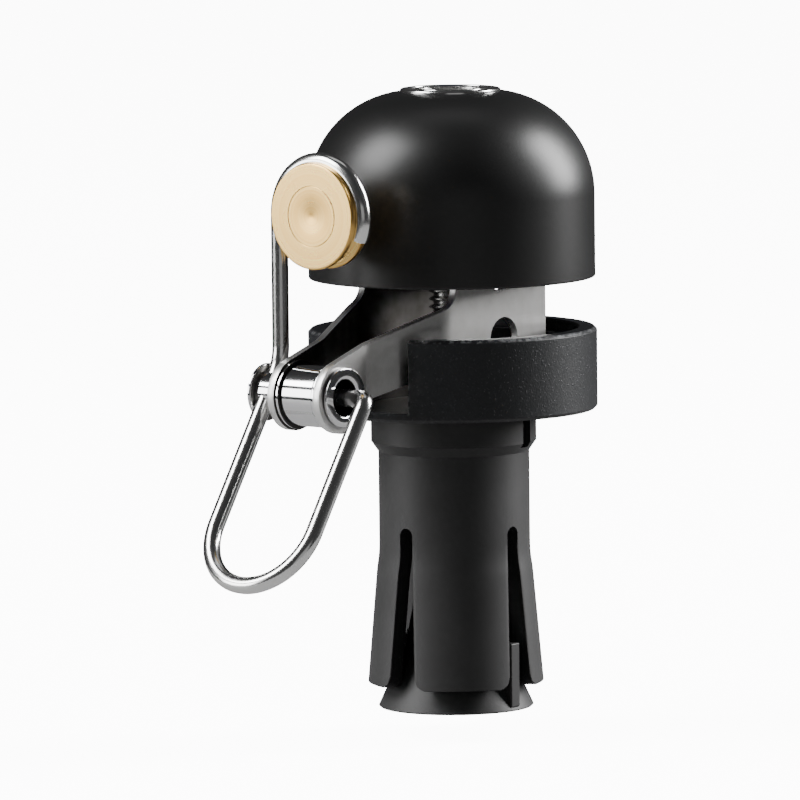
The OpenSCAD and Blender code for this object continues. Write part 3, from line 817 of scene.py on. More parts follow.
    def soften(self, width: float, segments: int = 2, angle: float = 35.0) -> None:
        """Rounds the piece's sharp edges.

        Args:
            width: Width of the rounding.
            segments: Facets across it.
            angle: Smallest bend, in degrees, that counts as sharp.
        """
        modify(
            self.object, "BEVEL", width=width, segments=segments, limit_method="ANGLE",
            angle_limit=math.radians(angle), use_clamp_overlap=True, miter_outer="MITER_ARC",
        )

    def finish(
        self, finish: Finish, slot: Slot, body: Optional[Body], node: str, smooth: float = 32.0
    ) -> None:
        """Shades, dresses and places the piece.

        Args:
            finish: The finish to dress it with.
            slot: The record's finish that it stands for.
            body: The body that it rides on, or None where it bends.
            node: The CAD node that it replaces.
            smooth: Largest bend, in degrees, that is shaded smooth.
        """
        take(self.object)
        bpy.ops.object.shade_smooth_by_angle(angle=math.radians(smooth), keep_sharp_edges=False)
        modify(self.object, "WEIGHTED_NORMAL", mode="FACE_AREA", weight=80, keep_sharp=True)
        finish.dress(self.object)
        if body:
            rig.ride(self.object, body.value)
        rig.replaces(self.object, node)
        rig.slot(self.object, slot.value)
        log.info("%s: %d faces", self.name, len(self.object.data.polygons))

    def dress_faces(self, finish: Finish, test: Callable[[bpy.types.MeshPolygon], bool]) -> None:
        """Gives some faces of a finished piece another finish.

        Args:
            finish: Their finish.
            test: Says whether a face is one of them.
        """
        mesh = self.object.data
        mesh.materials.append(finish.build())
        for face in mesh.polygons:
            if test(face):
                face.material_index = len(mesh.materials) - 1


def arc(centre: Point, radius: float, start: float, end: float, steps: int) -> list[Point]:
    """Points of an arc in a profile.

    Args:
        centre: The arc's centre.
        radius: Its radius.
        start: First angle, in degrees.
        end: Last angle.
        steps: Number of steps.

    Returns:
        The points, both ends included.
    """
    angles = [math.radians(start + (end - start) * step / steps) for step in range(steps + 1)]
    return [(centre[0] + radius * math.cos(a), centre[1] + radius * math.sin(a)) for a in angles]


def dress_node(name: str, finish: Finish) -> None:
    """Gives a CAD node that stays in view its finish.

    Args:
        name: The CAD node's name.
        finish: The finish to dress it with.
    """
    finish.dress(frame["nodes"][name])
    log.info("%s: kept from the CAD model", name)


# ---------------------------------------------------------------- sub-assemblies


@dataclass
class DomeStack:
    """The dome, the crown disc, and what carries them."""

    wall: float = 1.8 * MM
    shoulder: float = 13 * MM
    rim_round: float = 0.25 * MM
    inset: float = 0.6 * MM
    disc_r: float = 6.3 * MM
    boss_r: float = 4.7 * MM
    head_rise: float = 0.3 * MM
    pocket_r: float = 3.85 * MM
    bore_r: float = 3.0 * MM
    fit: float = 0.02 * MM
    groove_in: float = 4.35 * MM
    groove_out: float = 5.15 * MM
    groove_depth: float = 0.12 * MM
    groove_lean: float = 0.05 * MM
    disc_bevel: float = 0.2 * MM
    pocket_lip: float = 0.12 * MM
    steps: int = 144

    def build(self) -> None:
        """Builds and dresses the whole stack."""
        self.dome()
        self.crown_disc()
        dress_node("dome_bush", MouldedPlastic("nylon bush", (0.72, 0.71, 0.67), (0.78, 0.77, 0.73), 0.42))
        plate = BrightMetal("zinc plate", (0.58, 0.58, 0.57), (0.48, 0.48, 0.46), 0.24, 0.003 * MM)
        dress_node("post_washer", plate)
        dress_node("dome_post", plate)

    def dome(self) -> None:
        """Spins the bell dome, with a rounded rim and a seat for the disc."""
        low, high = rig.box("dome")
        radius, rim, top = high.x, low.z, high.z
        inner, ceiling = radius - self.wall, top - self.wall
        side = top - self.shoulder
        flat = radius - self.shoulder
        seat = top - self.inset
        seat_r = self.disc_r + self.fit
        hole_r = self.boss_r + self.fit
        edge = math.degrees(math.acos((seat_r - flat) / self.shoulder))
        outside = arc((radius - self.rim_round, rim + self.rim_round), self.rim_round, -90, 0, 4)
        inside = arc((inner + self.rim_round, rim + self.rim_round), self.rim_round, 180, 270, 4)
        profile = [
            *outside,
            *[(radius, rim + (side - rim) * step / 4) for step in range(1, 4)],
            *arc((flat, side), self.shoulder, 0, edge, 26),
            (seat_r, seat), (hole_r, seat), (hole_r, ceiling), (flat, ceiling),
            *arc((flat, side), self.shoulder - self.wall, 84, 0, 18),
            *[(inner, side - (side - rim) * step / 4) for step in range(1, 4)],
            *inside,
        ]
        piece = Piece("bell_dome")
        piece.turn(profile, Axis.Z, Vector(), self.steps)
        piece.finish(SatinPaint("satin black paint", rim), Slot.PAINT, Body.FRAME, "dome")

    def crown_disc(self) -> None:
        """Spins the silver disc: a polished bevel, a dark ring groove and the pocket for the bolt's head."""
        low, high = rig.box("crown_disc")
        top = high.z
        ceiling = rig.box("dome")[1].z - self.wall
        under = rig.box("dome")[1].z - self.inset
        seat, floor = ceiling + self.head_rise, top - self.groove_depth
        bevel, lean, lip = self.disc_bevel, self.groove_lean, self.pocket_lip
        profile = [
            (self.disc_r, under), (self.disc_r, top - bevel), (self.disc_r - 0.3 * bevel, top - 0.35 * bevel),
            (self.disc_r - bevel, top), (self.groove_out, top), (self.groove_out - lean, floor),
            (self.groove_in + lean, floor), (self.groove_in, top), (self.pocket_r + lip, top),
            (self.pocket_r, top - lip), (self.pocket_r, seat), (self.bore_r, seat),
            (self.bore_r, low.z), (self.boss_r, low.z), (self.boss_r, under),
        ]
        piece = Piece("crown_plate")
        piece.turn(profile, Axis.Z, Vector(), self.steps)
        finish = TurnedMetal(
            "crown steel", Axis.Z, Vector(), (0.80, 0.80, 0.79), (0.66, 0.66, 0.66), 0.13, 0.10 * MM, 0.002 * MM
        )
        piece.finish(finish, Slot.CROWN, Body.FRAME, "crown_disc", smooth=24)


@dataclass
class ClampBolt:
    """The long bolt on the plug's axis, with a real thread."""

    crest_r: float = 2.94 * MM
    root_r: float = 2.36 * MM
    pitch: float = 1.0 * MM
    key_r: float = 2.309 * MM
    key_depth: float = 1.1 * MM
    head_h: float = 1.4 * MM
    head_soft: float = 0.18 * MM
    head_steps: int = 72
    run_out: float = 3.0 * MM
    overlap: float = 0.5 * MM
    steps: int = 28

    def build(self) -> None:
        """Sweeps the thread with a Screw modifier, and joins it to a spun head."""
        low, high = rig.box("centre_bolt")
        head_r, top = high.x, high.z
        under = top - self.head_h
        piece = Piece("clamp_bolt")
        start = low.z - self.pitch
        root, crest = self.root_r, self.crest_r
        tooth = [(root, 0.0), (root, 0.13), (crest, 0.44), (crest, 0.56), (root, 0.87), (root, 1.0)]
        piece.draw([Vector((radius, 0, start + share * self.pitch)) for radius, share in tooth], closed=False)
        shank = under - self.run_out
        turns = math.ceil((shank - low.z) / self.pitch) + 2
        modify(
            piece.object, "SCREW", angle=math.tau, screw_offset=self.pitch, iterations=turns,
            steps=self.steps, render_steps=self.steps,
            use_merge_vertices=True, merge_threshold=WELD, use_smooth_shade=True,
        )
        for height, keep_above in ((low.z, True), (shank, False)):
            piece.edit()
            bpy.ops.mesh.select_all(action="SELECT")
            bpy.ops.mesh.remove_doubles(threshold=WELD)
            bpy.ops.mesh.select_all(action="SELECT")
            bpy.ops.mesh.bisect(
                plane_co=(0, 0, height), plane_no=(0, 0, 1), use_fill=True,
                clear_inner=keep_above, clear_outer=not keep_above,
            )
            piece.done()
        piece.mend()
        head = Piece("bolt_head")
        soft, base = self.head_soft, shank - self.overlap
        head.turn(
            [(0, base), (crest, base), (crest, under), (head_r, under), (head_r, top - soft),
             *arc((head_r - soft, top - soft), soft, 30, 90, 3), (0, top)],
            Axis.Z, Vector(), self.head_steps,
        )
        key = Piece("key")
        bpy.ops.object.select_all(action="DESELECT")
        bpy.ops.mesh.primitive_cylinder_add(
            vertices=6, radius=self.key_r, depth=2 * self.key_depth,
            location=(0, 0, top), rotation=(0, 0, math.pi / 6),
        )
        key._added()
        head.cut(key)
        piece.cut(head, join=True)
        piece.mend()
        finish = BrightMetal("bolt steel", (0.50, 0.50, 0.49), (0.40, 0.40, 0.39), 0.20, 0.002 * MM)
        piece.finish(finish, Slot.ZINC, Body.BOLT, "centre_bolt", smooth=28)


@dataclass
class RingCap:
    """The notched cup under the dome."""

    wall: float = 2.4 * MM
    floor: float = 1.2 * MM
    ledge: float = 2.2 * MM
    ledge_drop: float = 1.4 * MM
    recess: float = 0.1 * MM
    recess_r: float = 10.45 * MM
    chamfer: float = 0.4 * MM
    spigot_r: float = 8.58 * MM
    spigot_wall: float = 2.0 * MM
    hole_r: float = 3.25 * MM
    pocket_x: float = 8.4 * MM
    pocket_rear: float = 9.3 * MM
    notch_x: float = 6.798 * MM
    soft: float = 0.14 * MM
    steps: int = 144

    def build(self) -> None:
        """Spins the cup, cuts the notch and the pocket, and softens every edge."""
        low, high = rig.box("ring_cap")
        radius, rim = high.x, high.z
        inner, chamfer = radius - self.wall, self.chamfer
        ledge_r, ledge_z = inner - self.ledge, rim - self.ledge_drop
        profile = [
            (self.hole_r, self.recess), (self.spigot_r - self.spigot_wall, self.recess),
            (self.spigot_r - self.spigot_wall, low.z), (self.spigot_r, low.z), (self.spigot_r, self.recess),
            (self.recess_r, self.recess), (self.recess_r, 0), (radius - chamfer, 0),
            (radius, chamfer), (radius, rim - chamfer), (radius - chamfer, rim),
            (inner + chamfer / 2, rim), (inner, rim - chamfer / 2),
            (inner, ledge_z), (ledge_r, ledge_z), (ledge_r, self.floor), (self.hole_r, self.floor),
        ]
        piece = Piece("cup")
        piece.turn(profile, Axis.Z, Vector(), self.steps)
        notch = Piece("notch").block(
            Vector((-self.notch_x, -radius - MM, self.floor)), Vector((self.notch_x, -inner + MM, rim + MM))
        )
        pocket = Piece("pocket").block(
            Vector((-self.pocket_x, -inner, self.floor)), Vector((self.pocket_x, self.pocket_rear, rim + MM))
        )
        piece.cut(notch, pocket)
        piece.edit()
        bpy.ops.mesh.select_all(action="SELECT")
        bpy.ops.mesh.dissolve_limited(angle_limit=math.radians(0.5))
        piece.heal()
        piece.soften(self.soft, 3, 30)
        finish = GrainedCast("grained black cast", radius, rim, self.notch_x)
        piece.finish(finish, Slot.CAST, Body.FRAME, "ring_cap")


@dataclass
class Bracket:
    """The stamped stainless bracket."""

    soft: float = 0.13 * MM
    side_on: float = 0.5

    def build(self) -> None:
        """Welds a copy of the stamped shape and rounds its sheared edges; its inner faces get painted shade, and its
        sheared edges a pale finish that is partly bare cut metal and partly a painted highlight.
        """
        piece = Piece("stamped_bracket")
        piece.copy_of("bracket")
        piece.soften(self.soft, 2, 38)
        piece.finish(StampedSheet("stamped stainless"), Slot.SHEET, Body.FRAME, "bracket")
        # Painted shade: the arms' inner faces get a near-black sheet colour that stands for the shade and the dark
        # reflection in them.
        piece.dress_faces(
            StampedSheet("dull inner sheet", (0.10, 0.095, 0.09), (0.06, 0.055, 0.05), 0.42),
            lambda face: abs(face.normal.x) >= self.side_on and face.normal.x * face.center.x < 0,
        )
        # Partly painted highlight: the sheared edges get a pale bright finish, part bare cut metal and part the bright
        # lines that the light puts along them.
        piece.dress_faces(
            BrightMetal("sheared edge", (0.90, 0.90, 0.89), (0.80, 0.80, 0.79), 0.34, 0.004 * MM),
            lambda face: abs(face.normal.x) < self.side_on,
        )


@dataclass
class Pivot:
    """The barrel, its washers, the hollow axle, its disc and the spring."""

    barrel_wall: float = 0.5 * MM
    washer_bore: float = 2.8 * MM
    axle_r: float = 2.75 * MM
    axle_bore: float = 2.25 * MM
    flange_t: float = 0.5 * MM
    bore_end: float = 4.25 * MM
    soft: float = 0.12 * MM
    disc_soft: float = 0.16 * MM
    flat_on: float = 0.97
    steps: int = 96

    @property
    def pivot(self) -> Vector:
        """The point of the pivot's axis in the middle of the bell."""
        low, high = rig.box("pivot_barrel")
        return Vector((0, (low.y + high.y) / 2, (low.z + high.z) / 2))

    def build(self) -> None:
        """Builds and dresses the pivot."""
        low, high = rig.box("pivot_barrel")
        barrel_end = high.x
        washer_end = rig.box("washer_near")[1].x
        ear_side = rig.box("pivot_axle")[1].x - self.flange_t
        joints = ((barrel_end, 0.20 * MM), (washer_end, 0.10 * MM), (ear_side, 0.16 * MM))
        chrome = BrightMetal("chrome plate", (0.86, 0.86, 0.87), (0.74, 0.74, 0.75), 0.05, 0.0, joints=joints)
        barrel_r = (high.z - low.z) / 2
        self.tube("barrel", "pivot_barrel", barrel_r, barrel_r - self.barrel_wall, chrome)
        for node in ("washer_near", "washer_far"):
            low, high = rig.box(node)
            self.tube(node + "_ring", node, (high.z - low.z) / 2, self.washer_bore, chrome)
        self.axle(chrome)
        self.disc(chrome)
        spring = BrightMetal("spring steel", (0.42, 0.42, 0.42), (0.34, 0.34, 0.34), 0.28, 0.002 * MM)
        dress_node("return_spring", spring)

    def tube(self, name: str, node: str, outer: float, inner: float, finish: Finish) -> None:
        """Spins a tube about the pivot with rounded ends.

        Args:
            name: The piece's name.
            node: The CAD node that it replaces.
            outer: Outside radius.
            inner: Inside radius.
            finish: The finish to dress it with.
        """
        low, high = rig.box(node)
        soft = min(self.soft, (high.x - low.x) / 3)
        profile = [
            (inner, low.x), *arc((outer - soft, low.x + soft), soft, 270, 360, 3),
            *arc((outer - soft, high.x - soft), soft, 0, 90, 3), (inner, high.x),
        ]
        piece = Piece(name)
        piece.turn(profile, Axis.X, self.pivot, self.steps)
        piece.finish(finish, Slot.CHROME, Body.FRAME, node)

    def axle(self, finish: Finish) -> None:
        """Spins the hollow axle with its rolled flange at the near ear."""
        low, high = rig.box("pivot_axle")
        flange_r = (high.z - low.z) / 2
        soft, lip = self.soft, 0.3 * MM
        near = high.x
        profile = [
            (0, low.x), (self.axle_r - soft, low.x), (self.axle_r, low.x + soft),
            (self.axle_r, near - self.flange_t),
            *arc((flange_r - soft, near - self.flange_t + soft), soft, 270, 360, 3),
            *arc((flange_r - soft, near - soft), soft, 0, 90, 3),
            *arc((self.axle_bore + lip, near - lip), lip, 90, 180, 5),
            (self.axle_bore, -self.bore_end), (0, -self.bore_end),
        ]
        piece = Piece("hollow_axle")
        piece.turn(profile, Axis.X, self.pivot, self.steps)
        piece.finish(finish, Slot.CHROME, Body.STRIKER, "pivot_axle")

    def disc(self, finish: Finish) -> None:
        """Spins the disc that closes the far end of the axle, slightly crowned."""
        low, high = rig.box("axle_disc")
        radius = (high.z - low.z) / 2
        soft = self.disc_soft
        profile = [
            (0, high.x), *arc((radius - soft, high.x - soft), soft, 90, 0, 3),
            (radius, low.x + soft), (radius - 0.2 * MM, low.x + 0.06 * MM),
            (radius - 0.7 * MM, low.x), (0, low.x),
        ]
        piece = Piece("axle_end_disc")
        piece.turn(profile, Axis.X, self.pivot, self.steps)
        piece.finish(finish, Slot.CHROME, Body.STRIKER, "axle_disc")
        dull = TurnedMetal("dulled chrome", Axis.X, self.pivot, (0.16, 0.155, 0.15), (0.11, 0.105, 0.10), 0.36)
        piece.dress_faces(dull, lambda face: abs(face.normal.x) > self.flat_on)


@dataclass
class Striker:
    """The brass hammer and the one wire that holds it and forms the thumb loop."""

    wire_r: float = 1.075 * MM
    wire_set: float = 0.15 * MM
    near_leg_x: float = 9.1 * MM
    loop_tilt: float = 33.0
    loop_l: float = 26.9 * MM
    loop_offset: float = 1.17 * MM
    hook_r: float = 3.6 * MM
    hook_ease: float = 2.16 * MM
    hook_reach: float = 8 * MM
    kink_ease: float = 2 * MM
    wrap: float = 24.0
    end_round: float = 0.3 * MM
    hammer_chamfer: float = 0.2 * MM
    groove_fit: float = 0.02 * MM
    ring_r: float = 3.75 * MM
    ring_w: float = 0.14 * MM
    ring_dip: float = 0.025 * MM
    centre_r: float = 0.25 * MM
    centre_dip: float = 0.03 * MM

    def build(self) -> None:
        """Builds the hammer and the wire."""
        self.hammer()
        self.wire()

    def hammer(self) -> None:
        """Spins the brass disc with its wire groove and a fine ring on each face."""
        low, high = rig.box("hammer")
        centre = (low + high) / 2
        radius, face, soft = (high.x - low.x) / 2, (high.y - low.y) / 2, self.hammer_chamfer
        groove = self.wire_r + self.groove_fit
        half = math.degrees(math.acos(-self.wire_set / groove))
        ring, half_w = self.ring_r, self.ring_w / 2
        side = [
            (0, self.centre_dip), (self.centre_r, 0.0),
            (ring - half_w, 0), (ring, self.ring_dip), (ring + half_w, 0),
            (radius - soft, 0), *arc((radius - soft, soft), soft, -81, 0, 9),
        ]
        front = [(r, -face + z) for r, z in side]
        back = [(r, face - z) for r, z in reversed(side)]
        cut = arc((radius + self.wire_set, 0), groove, -180 + (180 - half), -180 - (180 - half), 16)
        piece = Piece("brass_hammer")
        piece.turn([*front, *cut, *back], Axis.Y, centre, 128)
        brass = TurnedMetal(
            "turned brass", Axis.Y, centre, (0.97, 0.66, 0.24), (0.84, 0.49, 0.13),
            0.22, 0.24 * MM, 0.0030 * MM, radius - soft,
        )
        piece.finish(brass, Slot.BRASS, Body.STRIKER, "hammer", smooth=14)

    def path(self) -> list[Vector]:
        """Centre line of the wire, from its end beside the hammer to its hooked end in the axle.

        Returns:
            The line's points.
        """
        low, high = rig.box("hammer")
        hammer = (low + high) / 2
        run_x = (high.x - low.x) / 2 + self.wire_set
        low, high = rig.box("pivot_barrel")
        pivot = (low + high) / 2
        pivot.x = 0
        tilt = math.radians(self.loop_tilt)
        down = Vector((0, -math.sin(tilt), -math.cos(tilt)))
        normal = Vector((0, -math.cos(tilt), math.sin(tilt)))
        set_in = hammer.y - pivot.y
        loop_r, mid_x = (self.near_leg_x + run_x) / 2, (self.near_leg_x - run_x) / 2

        def leg(x: float, s: float) -> Vector:
            """Point of the loop's plane, x across and s down."""
            return Vector((x, pivot.y, pivot.z)) + normal * self.loop_offset + down * s

        def cubic(a: Vector, b: Vector, c: Vector, d: Vector, steps: int) -> list[Vector]:
            """Points of a cubic curve."""
            shares = [(step / steps, 1 - step / steps) for step in range(steps + 1)]
            return [a * u**3 + 3 * b * t * u**2 + 3 * c * t**2 * u + d * t**3 for t, u in shares]

        kink = leg(-run_x, -(set_in + self.loop_offset * math.cos(tilt)) / math.sin(tilt))
        up, on = Vector((0, 0, self.kink_ease)), down * self.kink_ease
        wrap = [math.radians(a) for a in range(-int(self.wrap), 181, 4)]
        bend = [math.radians(a) for a in range(180, -1, -4)]
        start = leg(self.near_leg_x, self.hook_ease)
        end = Vector((self.near_leg_x - self.hook_r, pivot.y, pivot.z))
        return [
            *[hammer + run_x * Vector((math.cos(a), 0, math.sin(a))) for a in wrap],
            *cubic(kink + up, kink + up / 3, kink + on / 3, kink + on, 8),
            *[leg(mid_x + loop_r * math.cos(a), self.loop_l - loop_r + loop_r * math.sin(a)) for a in bend],
            *cubic(start, start - down * self.hook_ease, end + Vector((self.hook_ease, 0, 0)), end, 12),
            end - Vector((self.hook_reach, 0, 0)),
        ]

    def wire(self) -> None:
        """Draws the wire's line as a curve, makes it a round bar and rounds its ends."""
        points = self.path()
        curve = bpy.data.curves.new("striker_bar", "CURVE")
        curve.dimensions = "3D"
        curve.bevel_depth = self.wire_r
        curve.bevel_resolution = 7
        curve.use_fill_caps = True
        spline = curve.splines.new("POLY")
        spline.points.add(len(points) - 1)
        for point, place in zip(spline.points, points):
            point.co = (*place, 1.0)
        bar = bpy.data.objects.new("striker_bar", curve)
        bpy.context.scene.collection.objects.link(bar)
        take(bar)
        bpy.ops.object.convert(target="MESH")
        piece = Piece("striker_bar")
        piece.object = bpy.context.view_layer.objects.active
        piece.object.name = piece.object.data.name = piece.name
        piece.mend()
        piece.soften(self.end_round, 4, 60)
        finish = BrightMetal(
            "polished wire", (0.88, 0.88, 0.87), (0.76, 0.76, 0.75), 0.15, 0.002 * MM, (1, 1, 8)
        )
        piece.finish(finish, Slot.WIRE, Body.STRIKER, "striker_wire", smooth=40)


@dataclass
class Plug:
    """The expander sleeve, its four fingers and the wedge."""

    collar_wall: float = 1.8 * MM
    collar_l: float = 4.2 * MM
    sleeve_r: float = 9.5 * MM
    wall: float = 2.5 * MM
    taper: float = 1.0 * MM
    web: float = 2.0 * MM
    root: float = 16.5 * MM
    hole_r: float = 3.25 * MM
    slot_w: float = 2.0 * MM
    slot_rise: float = 2.2 * MM
    finger_l: float = 18.1 * MM
    spread: float = 5.0
    ease: float = 4.0 * MM
    corner: float = 1.6 * MM
    rows: int = 26
    row_end: float = 2.4 * MM
    bevel_h: float = 0.8 * MM
    bevel_w: float = 0.275 * MM
    bayonet_turn: float = 12.0
    bayonet_leg: float = 1.9 * MM
    cross_turn: float = 8.5
    cross_w: float = 4.9 * MM
    cross_h: float = 0.9 * MM
    cone_l: float = 8.2 * MM
    slope: float = 24.0
    foot: float = 0.2 * MM
    land_h: float = 1.5 * MM
    land_step: float = 0.15 * MM
    nose_l: float = 8.5 * MM
    nose_slope: float = 10.0
    nut_r: float = 5.794 * MM
    nut_pocket: float = 6 * MM
    rib_w: float = 1.7 * MM
    rib_h: float = 8.1 * MM
    rib_rise: float = 0.5 * MM
    steps: int = 120

    @property
    def plastic(self) -> Finish:
        """The plug's moulded black."""
        return MouldedPlastic("moulded black nylon")

    def build(self) -> None:
        """Builds and dresses the plug."""
        self.sleeve()
        for number in range(1, 5):
            self.finger(number)
        self.cone()
        plate = BrightMetal("nut plate", (0.56, 0.56, 0.55), (0.46, 0.46, 0.44), 0.26, 0.003 * MM)
        dress_node("wedge_nut", plate)

    def sleeve(self) -> None:
        """Spins the collar and sleeve, and cuts the bayonet slots and the slots' round tops."""
        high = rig.box("expander_sleeve")[1]
        collar_r, top = high.x, high.z
        bore_in, bore = collar_r - self.collar_wall, self.sleeve_r - self.wall
        shelf = -self.collar_l - self.taper
        piece = Piece("sleeve")
        piece.turn(
            [
                (bore_in, top), (collar_r, top), (collar_r, -self.collar_l + 0.25 * MM),
                (collar_r - 0.2 * MM, -self.collar_l), (self.sleeve_r + 0.12 * MM, shelf + 0.14 * MM),
                (self.sleeve_r, shelf), (self.sleeve_r, -self.root), (bore, -self.root),
                (bore, shelf - self.web), (self.hole_r, shelf - self.web),
                (self.hole_r, shelf), (bore_in, shelf),
            ],
            Axis.Z, Vector(), self.steps,
        )
        cutters = []
        for side in (0, 180):
            for turn, width, height in (
                (self.bayonet_turn, self.bayonet_leg, self.collar_l + self.taper / 3),
                (self.bayonet_turn - self.cross_turn, self.cross_w, self.cross_h),
            ):
                cutter = Piece("bayonet").block(
                    Vector((bore_in - MM, -width / 2, -height)), Vector((collar_r + MM, width / 2, top + MM))
                )
                cutter.object.data.transform(Matrix.Rotation(math.radians(side + turn), 4, "Z"))
                cutters.append(cutter)
        half_w, slot_top = self.slot_w / 2, self.slot_rise - self.root
        for quarter in range(4):
            cutter = Piece("slot").block(
                Vector((bore - MM, -half_w, -self.root - MM)), Vector((self.sleeve_r + MM, half_w, slot_top))
            )
            cutter.edit("EDGE")
            cutter.pick("EDGE", lambda place: place.z > slot_top - WELD and abs(place.y) > half_w - WELD)
            bpy.ops.mesh.bevel(offset=half_w * 0.999, segments=8)
            cutter.done()
            cutter.object.data.transform(Matrix.Rotation(quarter * math.pi / 2, 4, "Z"))
            cutters.append(cutter)
        piece.cut(*cutters)
        piece.mend()
        piece.finish(self.plastic, Slot.PLASTIC, Body.FRAME, "expander_sleeve")

    def finger(self, number: int) -> None:
        """Spins one closed finger, trims it to its slots, rounds its corners and bends it out.

        Args:
            number: Which finger, from 1 to 4.
        """
        tip = -self.root - self.finger_l
        bore = self.sleeve_r - self.wall
        above = MM - self.root
        profile = [
            (self.sleeve_r, above), (self.sleeve_r, tip), (bore + self.bevel_w, tip),
            (bore, tip + self.bevel_h), (bore, above),
        ]
        piece = Piece(f"flared_finger_{number}")
        piece.turn(profile, Axis.Z, Vector(), 32, math.radians(90), math.radians(-45))
        corner = Vector((0, 0, tip + self.corner))
        for sign in (-1, 1):
            side = Vector((-math.sqrt(0.5), sign * math.sqrt(0.5), 0))
            middle = corner - side * (self.slot_w / 2 + self.corner)
            for lean in range(0, 90, 15):
                outward = side * math.cos(math.radians(lean)) - Vector((0, 0, math.sin(math.radians(lean))))
                piece.trim(middle + outward * self.corner, outward)
        piece.edit()
        for row in range(self.rows):
            height = -self.root - (self.finger_l - self.row_end) * row / self.rows
            bpy.ops.mesh.select_all(action="SELECT")
            bpy.ops.mesh.bisect(plane_co=(0, 0, height), plane_no=Axis.Z.value)
        piece.heal()
        piece.soften(0.12 * MM, 2, 50)
        piece.trim(Vector((0, 0, -self.root)), Vector(Axis.Z.value))
        piece.mend()
        hinge = Vector((self.sleeve_r - self.wall / 2, 0, -self.root))
        lean_out = Matrix.Rotation(math.radians(-self.spread), 4, "Y")
        turned = Matrix.Translation(hinge) @ lean_out @ Matrix.Translation(-hinge)
        about = Matrix.Rotation(math.radians(90 * number - 135), 4, "Z")
        for vertex in piece.object.data.vertices:
            share = min(max((-self.root - vertex.co.z) / self.ease, 0.0), 1.0)
            share = share * share * (3 - 2 * share)
            vertex.co = about @ vertex.co.lerp(turned @ vertex.co, share)
        piece.finish(self.plastic, Slot.PLASTIC, None, f"finger_{number}", smooth=35)
        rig.blend(
            piece.object, Body.FRAME.value, f"finger_{number}_body",
            start=(0, 0, -self.root), end=(0, 0, -self.root - self.ease),
        )

    def cone(self) -> None:
        """Spins the cone and its nose, and joins the two key ribs to it."""
        low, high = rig.box("wedge_cone")
        base = low.z
        cone_r = high.y
        span = high.x
        land_r = cone_r - self.cone_l * math.tan(math.radians(self.slope))
        nose_r = land_r - self.nose_l * math.tan(math.radians(self.nose_slope))
        land = base + self.cone_l
        piece = Piece("expander_cone")
        piece.turn(
            [
                (self.hole_r, base + self.nut_pocket), (self.nut_r, base + self.nut_pocket), (self.nut_r, base),
                (cone_r - self.foot, base), (cone_r, base + self.foot),
                (land_r, land), (land_r, land + self.land_h),
                (land_r - self.land_step, land + self.land_h), (nose_r, land + self.nose_l),
                (self.hole_r, land + self.nose_l),
            ],
            Axis.Z, Vector(), self.steps,
        )
        for side in (-1, 1):
            ends = sorted((side * span, side * (land_r - 0.6 * MM)))
            rib = Piece("rib").block(
                Vector((ends[0], -self.rib_w / 2, base + self.rib_rise)),
                Vector((ends[1], self.rib_w / 2, base + self.rib_rise + self.rib_h)),
            )
            rib.soften(0.2 * MM, 3)
            piece.cut(rib, join=True)
        piece.mend()
        piece.finish(self.plastic, Slot.PLASTIC, Body.WEDGE, "wedge_cone")


# ---------------------------------------------------------------- studio


@dataclass(frozen=True)
class SoftBox:
    """A rectangular studio light that faces the bell."""

    name: str
    place: Vector
    width: float
    height: float
    power: float

    def build(self, target: Vector) -> None:
        """Places the light.

        Args:
            target: The point that it faces.
        """
        lamp = bpy.data.lights.new(self.name, "AREA")
        lamp.shape = "RECTANGLE"
        lamp.size, lamp.size_y = self.width, self.height
        lamp.energy = self.power
        holder = bpy.data.objects.new(self.name, lamp)
        bpy.context.scene.collection.objects.link(holder)
        holder.location = self.place
        holder.rotation_mode = "QUATERNION"
        holder.rotation_quaternion = (target - self.place).to_track_quat("-Z", "Y")


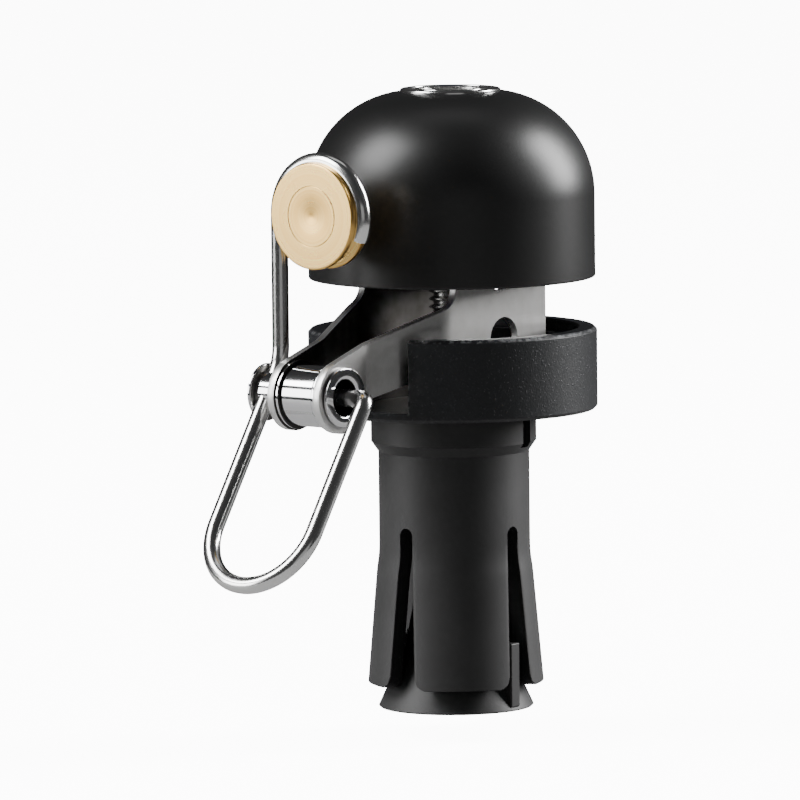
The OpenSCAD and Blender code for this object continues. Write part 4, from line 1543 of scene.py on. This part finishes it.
@dataclass
class Studio:
    """Floor, backdrop, lights and camera."""

    azimuth: float = 40.0
    elevation: float = 5.28
    roll: float = 0.58
    distance: float = 1.2007
    pan: float = -0.3189
    tilt: float = -0.7348
    lens: float = 430.8
    aim: Vector = field(default_factory=Vector)
    floor_z: float = 0.0
    wedge_travel: float = 3.6 * MM
    floor_r: float = 1.6
    sweep_r: float = 0.9
    floor_glow: float = 11.0
    card_r: float = 0.30
    card_glow: float = 0.36
    room_glow: float = 0.07

    def axes(self) -> tuple[Vector, Vector, Vector]:
        """The camera's level axes.

        Returns:
            The directions to its right, upwards and back.
        """
        a, e = math.radians(self.azimuth), math.radians(self.elevation)
        back = Vector((math.sin(a) * math.cos(e), -math.cos(a) * math.cos(e), math.sin(e)))
        right = Vector((math.cos(a), math.sin(a), 0))
        return right, back.cross(right), back

    def build(self) -> None:
        """Builds the whole set."""
        self.camera()
        self.stage()
        self.lights()

    def camera(self) -> None:
        """Makes the camera."""
        right, up, back = self.axes()
        cos, sin = math.cos(math.radians(self.roll)), math.sin(math.radians(self.roll))
        look = -back + right * math.tan(math.radians(self.pan)) + up * math.tan(math.radians(self.tilt))
        look.normalize()
        side = right * cos - up * sin
        side = (side - look * side.dot(look)).normalized()
        rise = side.cross(look)
        data = bpy.data.cameras.new("studio camera")
        data.lens, data.sensor_width = self.lens, 36.0
        data.clip_start, data.clip_end = 0.05, 20.0
        camera = bpy.data.objects.new("studio camera", data)
        bpy.context.scene.collection.objects.link(camera)
        place = self.aim + back * self.distance
        turn = Matrix((side, rise, -look)).transposed()
        camera.matrix_world = Matrix.Translation(place) @ turn.to_4x4()
        bpy.context.scene.camera = camera

    def sheet(self, name: str, profile: Profile, strength: float) -> bpy.types.Object:
        """Spins a pale glowing sheet about the bell's axis.

        Args:
            name: The sheet's name.
            profile: Points as distance from the axis and height.
            strength: How much it glows.

        Returns:
            The sheet.
        """
        shader = Shader(name)
        shader.set(base=(0.86, 0.86, 0.86), rough=0.65, specular=0.2)
        shader.surface.inputs["Emission Color"].default_value = (1, 1, 1, 1)
        shader.surface.inputs["Emission Strength"].default_value = strength
        piece = Piece(name.replace(" ", "_"))
        piece.turn(profile, Axis.Z, Vector(), 96)
        take(piece.object)
        bpy.ops.object.shade_smooth()
        piece.object.data.materials.append(shader.material)
        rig.stage(piece.object)
        return piece.object

    def stage(self) -> None:
        """Makes the pale floor, low enough for the slack wedge, and a dimmer one that shows only in metal."""
        low = self.floor_z - self.wedge_travel
        curve = arc((self.floor_r, low + self.sweep_r), self.sweep_r, -90, 0, 16)
        sweep = [(0, low), (self.floor_r, low), *curve, (self.floor_r + self.sweep_r, low + 2.6)]
        floor = self.sheet("pale floor", sweep, self.floor_glow)
        floor.visible_glossy = floor.visible_diffuse = False
        bounce = self.sheet("bounce card", [(0, low - MM), (self.card_r, low - MM)], self.card_glow)
        bounce.visible_camera = bounce.visible_diffuse = bounce.visible_shadow = False

    def lights(self) -> None:
        """Makes the soft lights and the dim surroundings."""
        right, _, back = self.axes()
        target = Vector((0, 0, 0.01))

        def at(x: float, y: float, z: float) -> Vector:
            """A place given along the camera's right, upwards and towards the camera."""
            flat = Vector((back.x, back.y, 0)).normalized()
            return right * x + Vector((0, 0, 1)) * y + flat * z

        for box in (
            SoftBox("left box", at(-0.64, 0.61, 0.14), 0.44, 0.50, 9.5),
            SoftBox("right box", at(0.77, 0.38, -0.22), 0.30, 0.60, 15.5),
            SoftBox("left fill", at(-0.98, 0.16, 0.17), 0.50, 0.38, 4.4),
            SoftBox("top box", at(0.0, 0.95, -0.25), 0.5, 0.3, 0.3),
            SoftBox("front fill", at(0.25, 0.10, 1.3), 0.9, 0.5, 0.4),
        ):
            box.build(target)
        world = bpy.data.worlds.new("dim room")
        bpy.context.scene.world = world
        world.use_nodes = True
        background = world.node_tree.nodes["Background"]
        background.inputs[0].default_value = (0.5, 0.5, 0.51, 1)
        background.inputs[1].default_value = self.room_glow


def main() -> None:
    """Builds the bell piece by piece, then the set round it, and notes both boxes."""
    logging.basicConfig(level=logging.INFO, format="%(name)s: %(message)s")
    Studio(aim=Vector((0, 0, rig.box("dome")[0].z)), floor_z=CAD_BOX[0].z).build()
    for part in (DomeStack(), ClampBolt(), RingCap(), Bracket(), Pivot(), Striker(), Plug()):
        log.info("building %s", type(part).__name__)
        part.build()
    boxes = {"cad": CAD_BOX, "visual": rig.bounds()}
    with open("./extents.json", "w") as file:
        json.dump({name: [list(corner) for corner in box] for name, box in boxes.items()}, file)


if __name__ == "__main__":
    main()
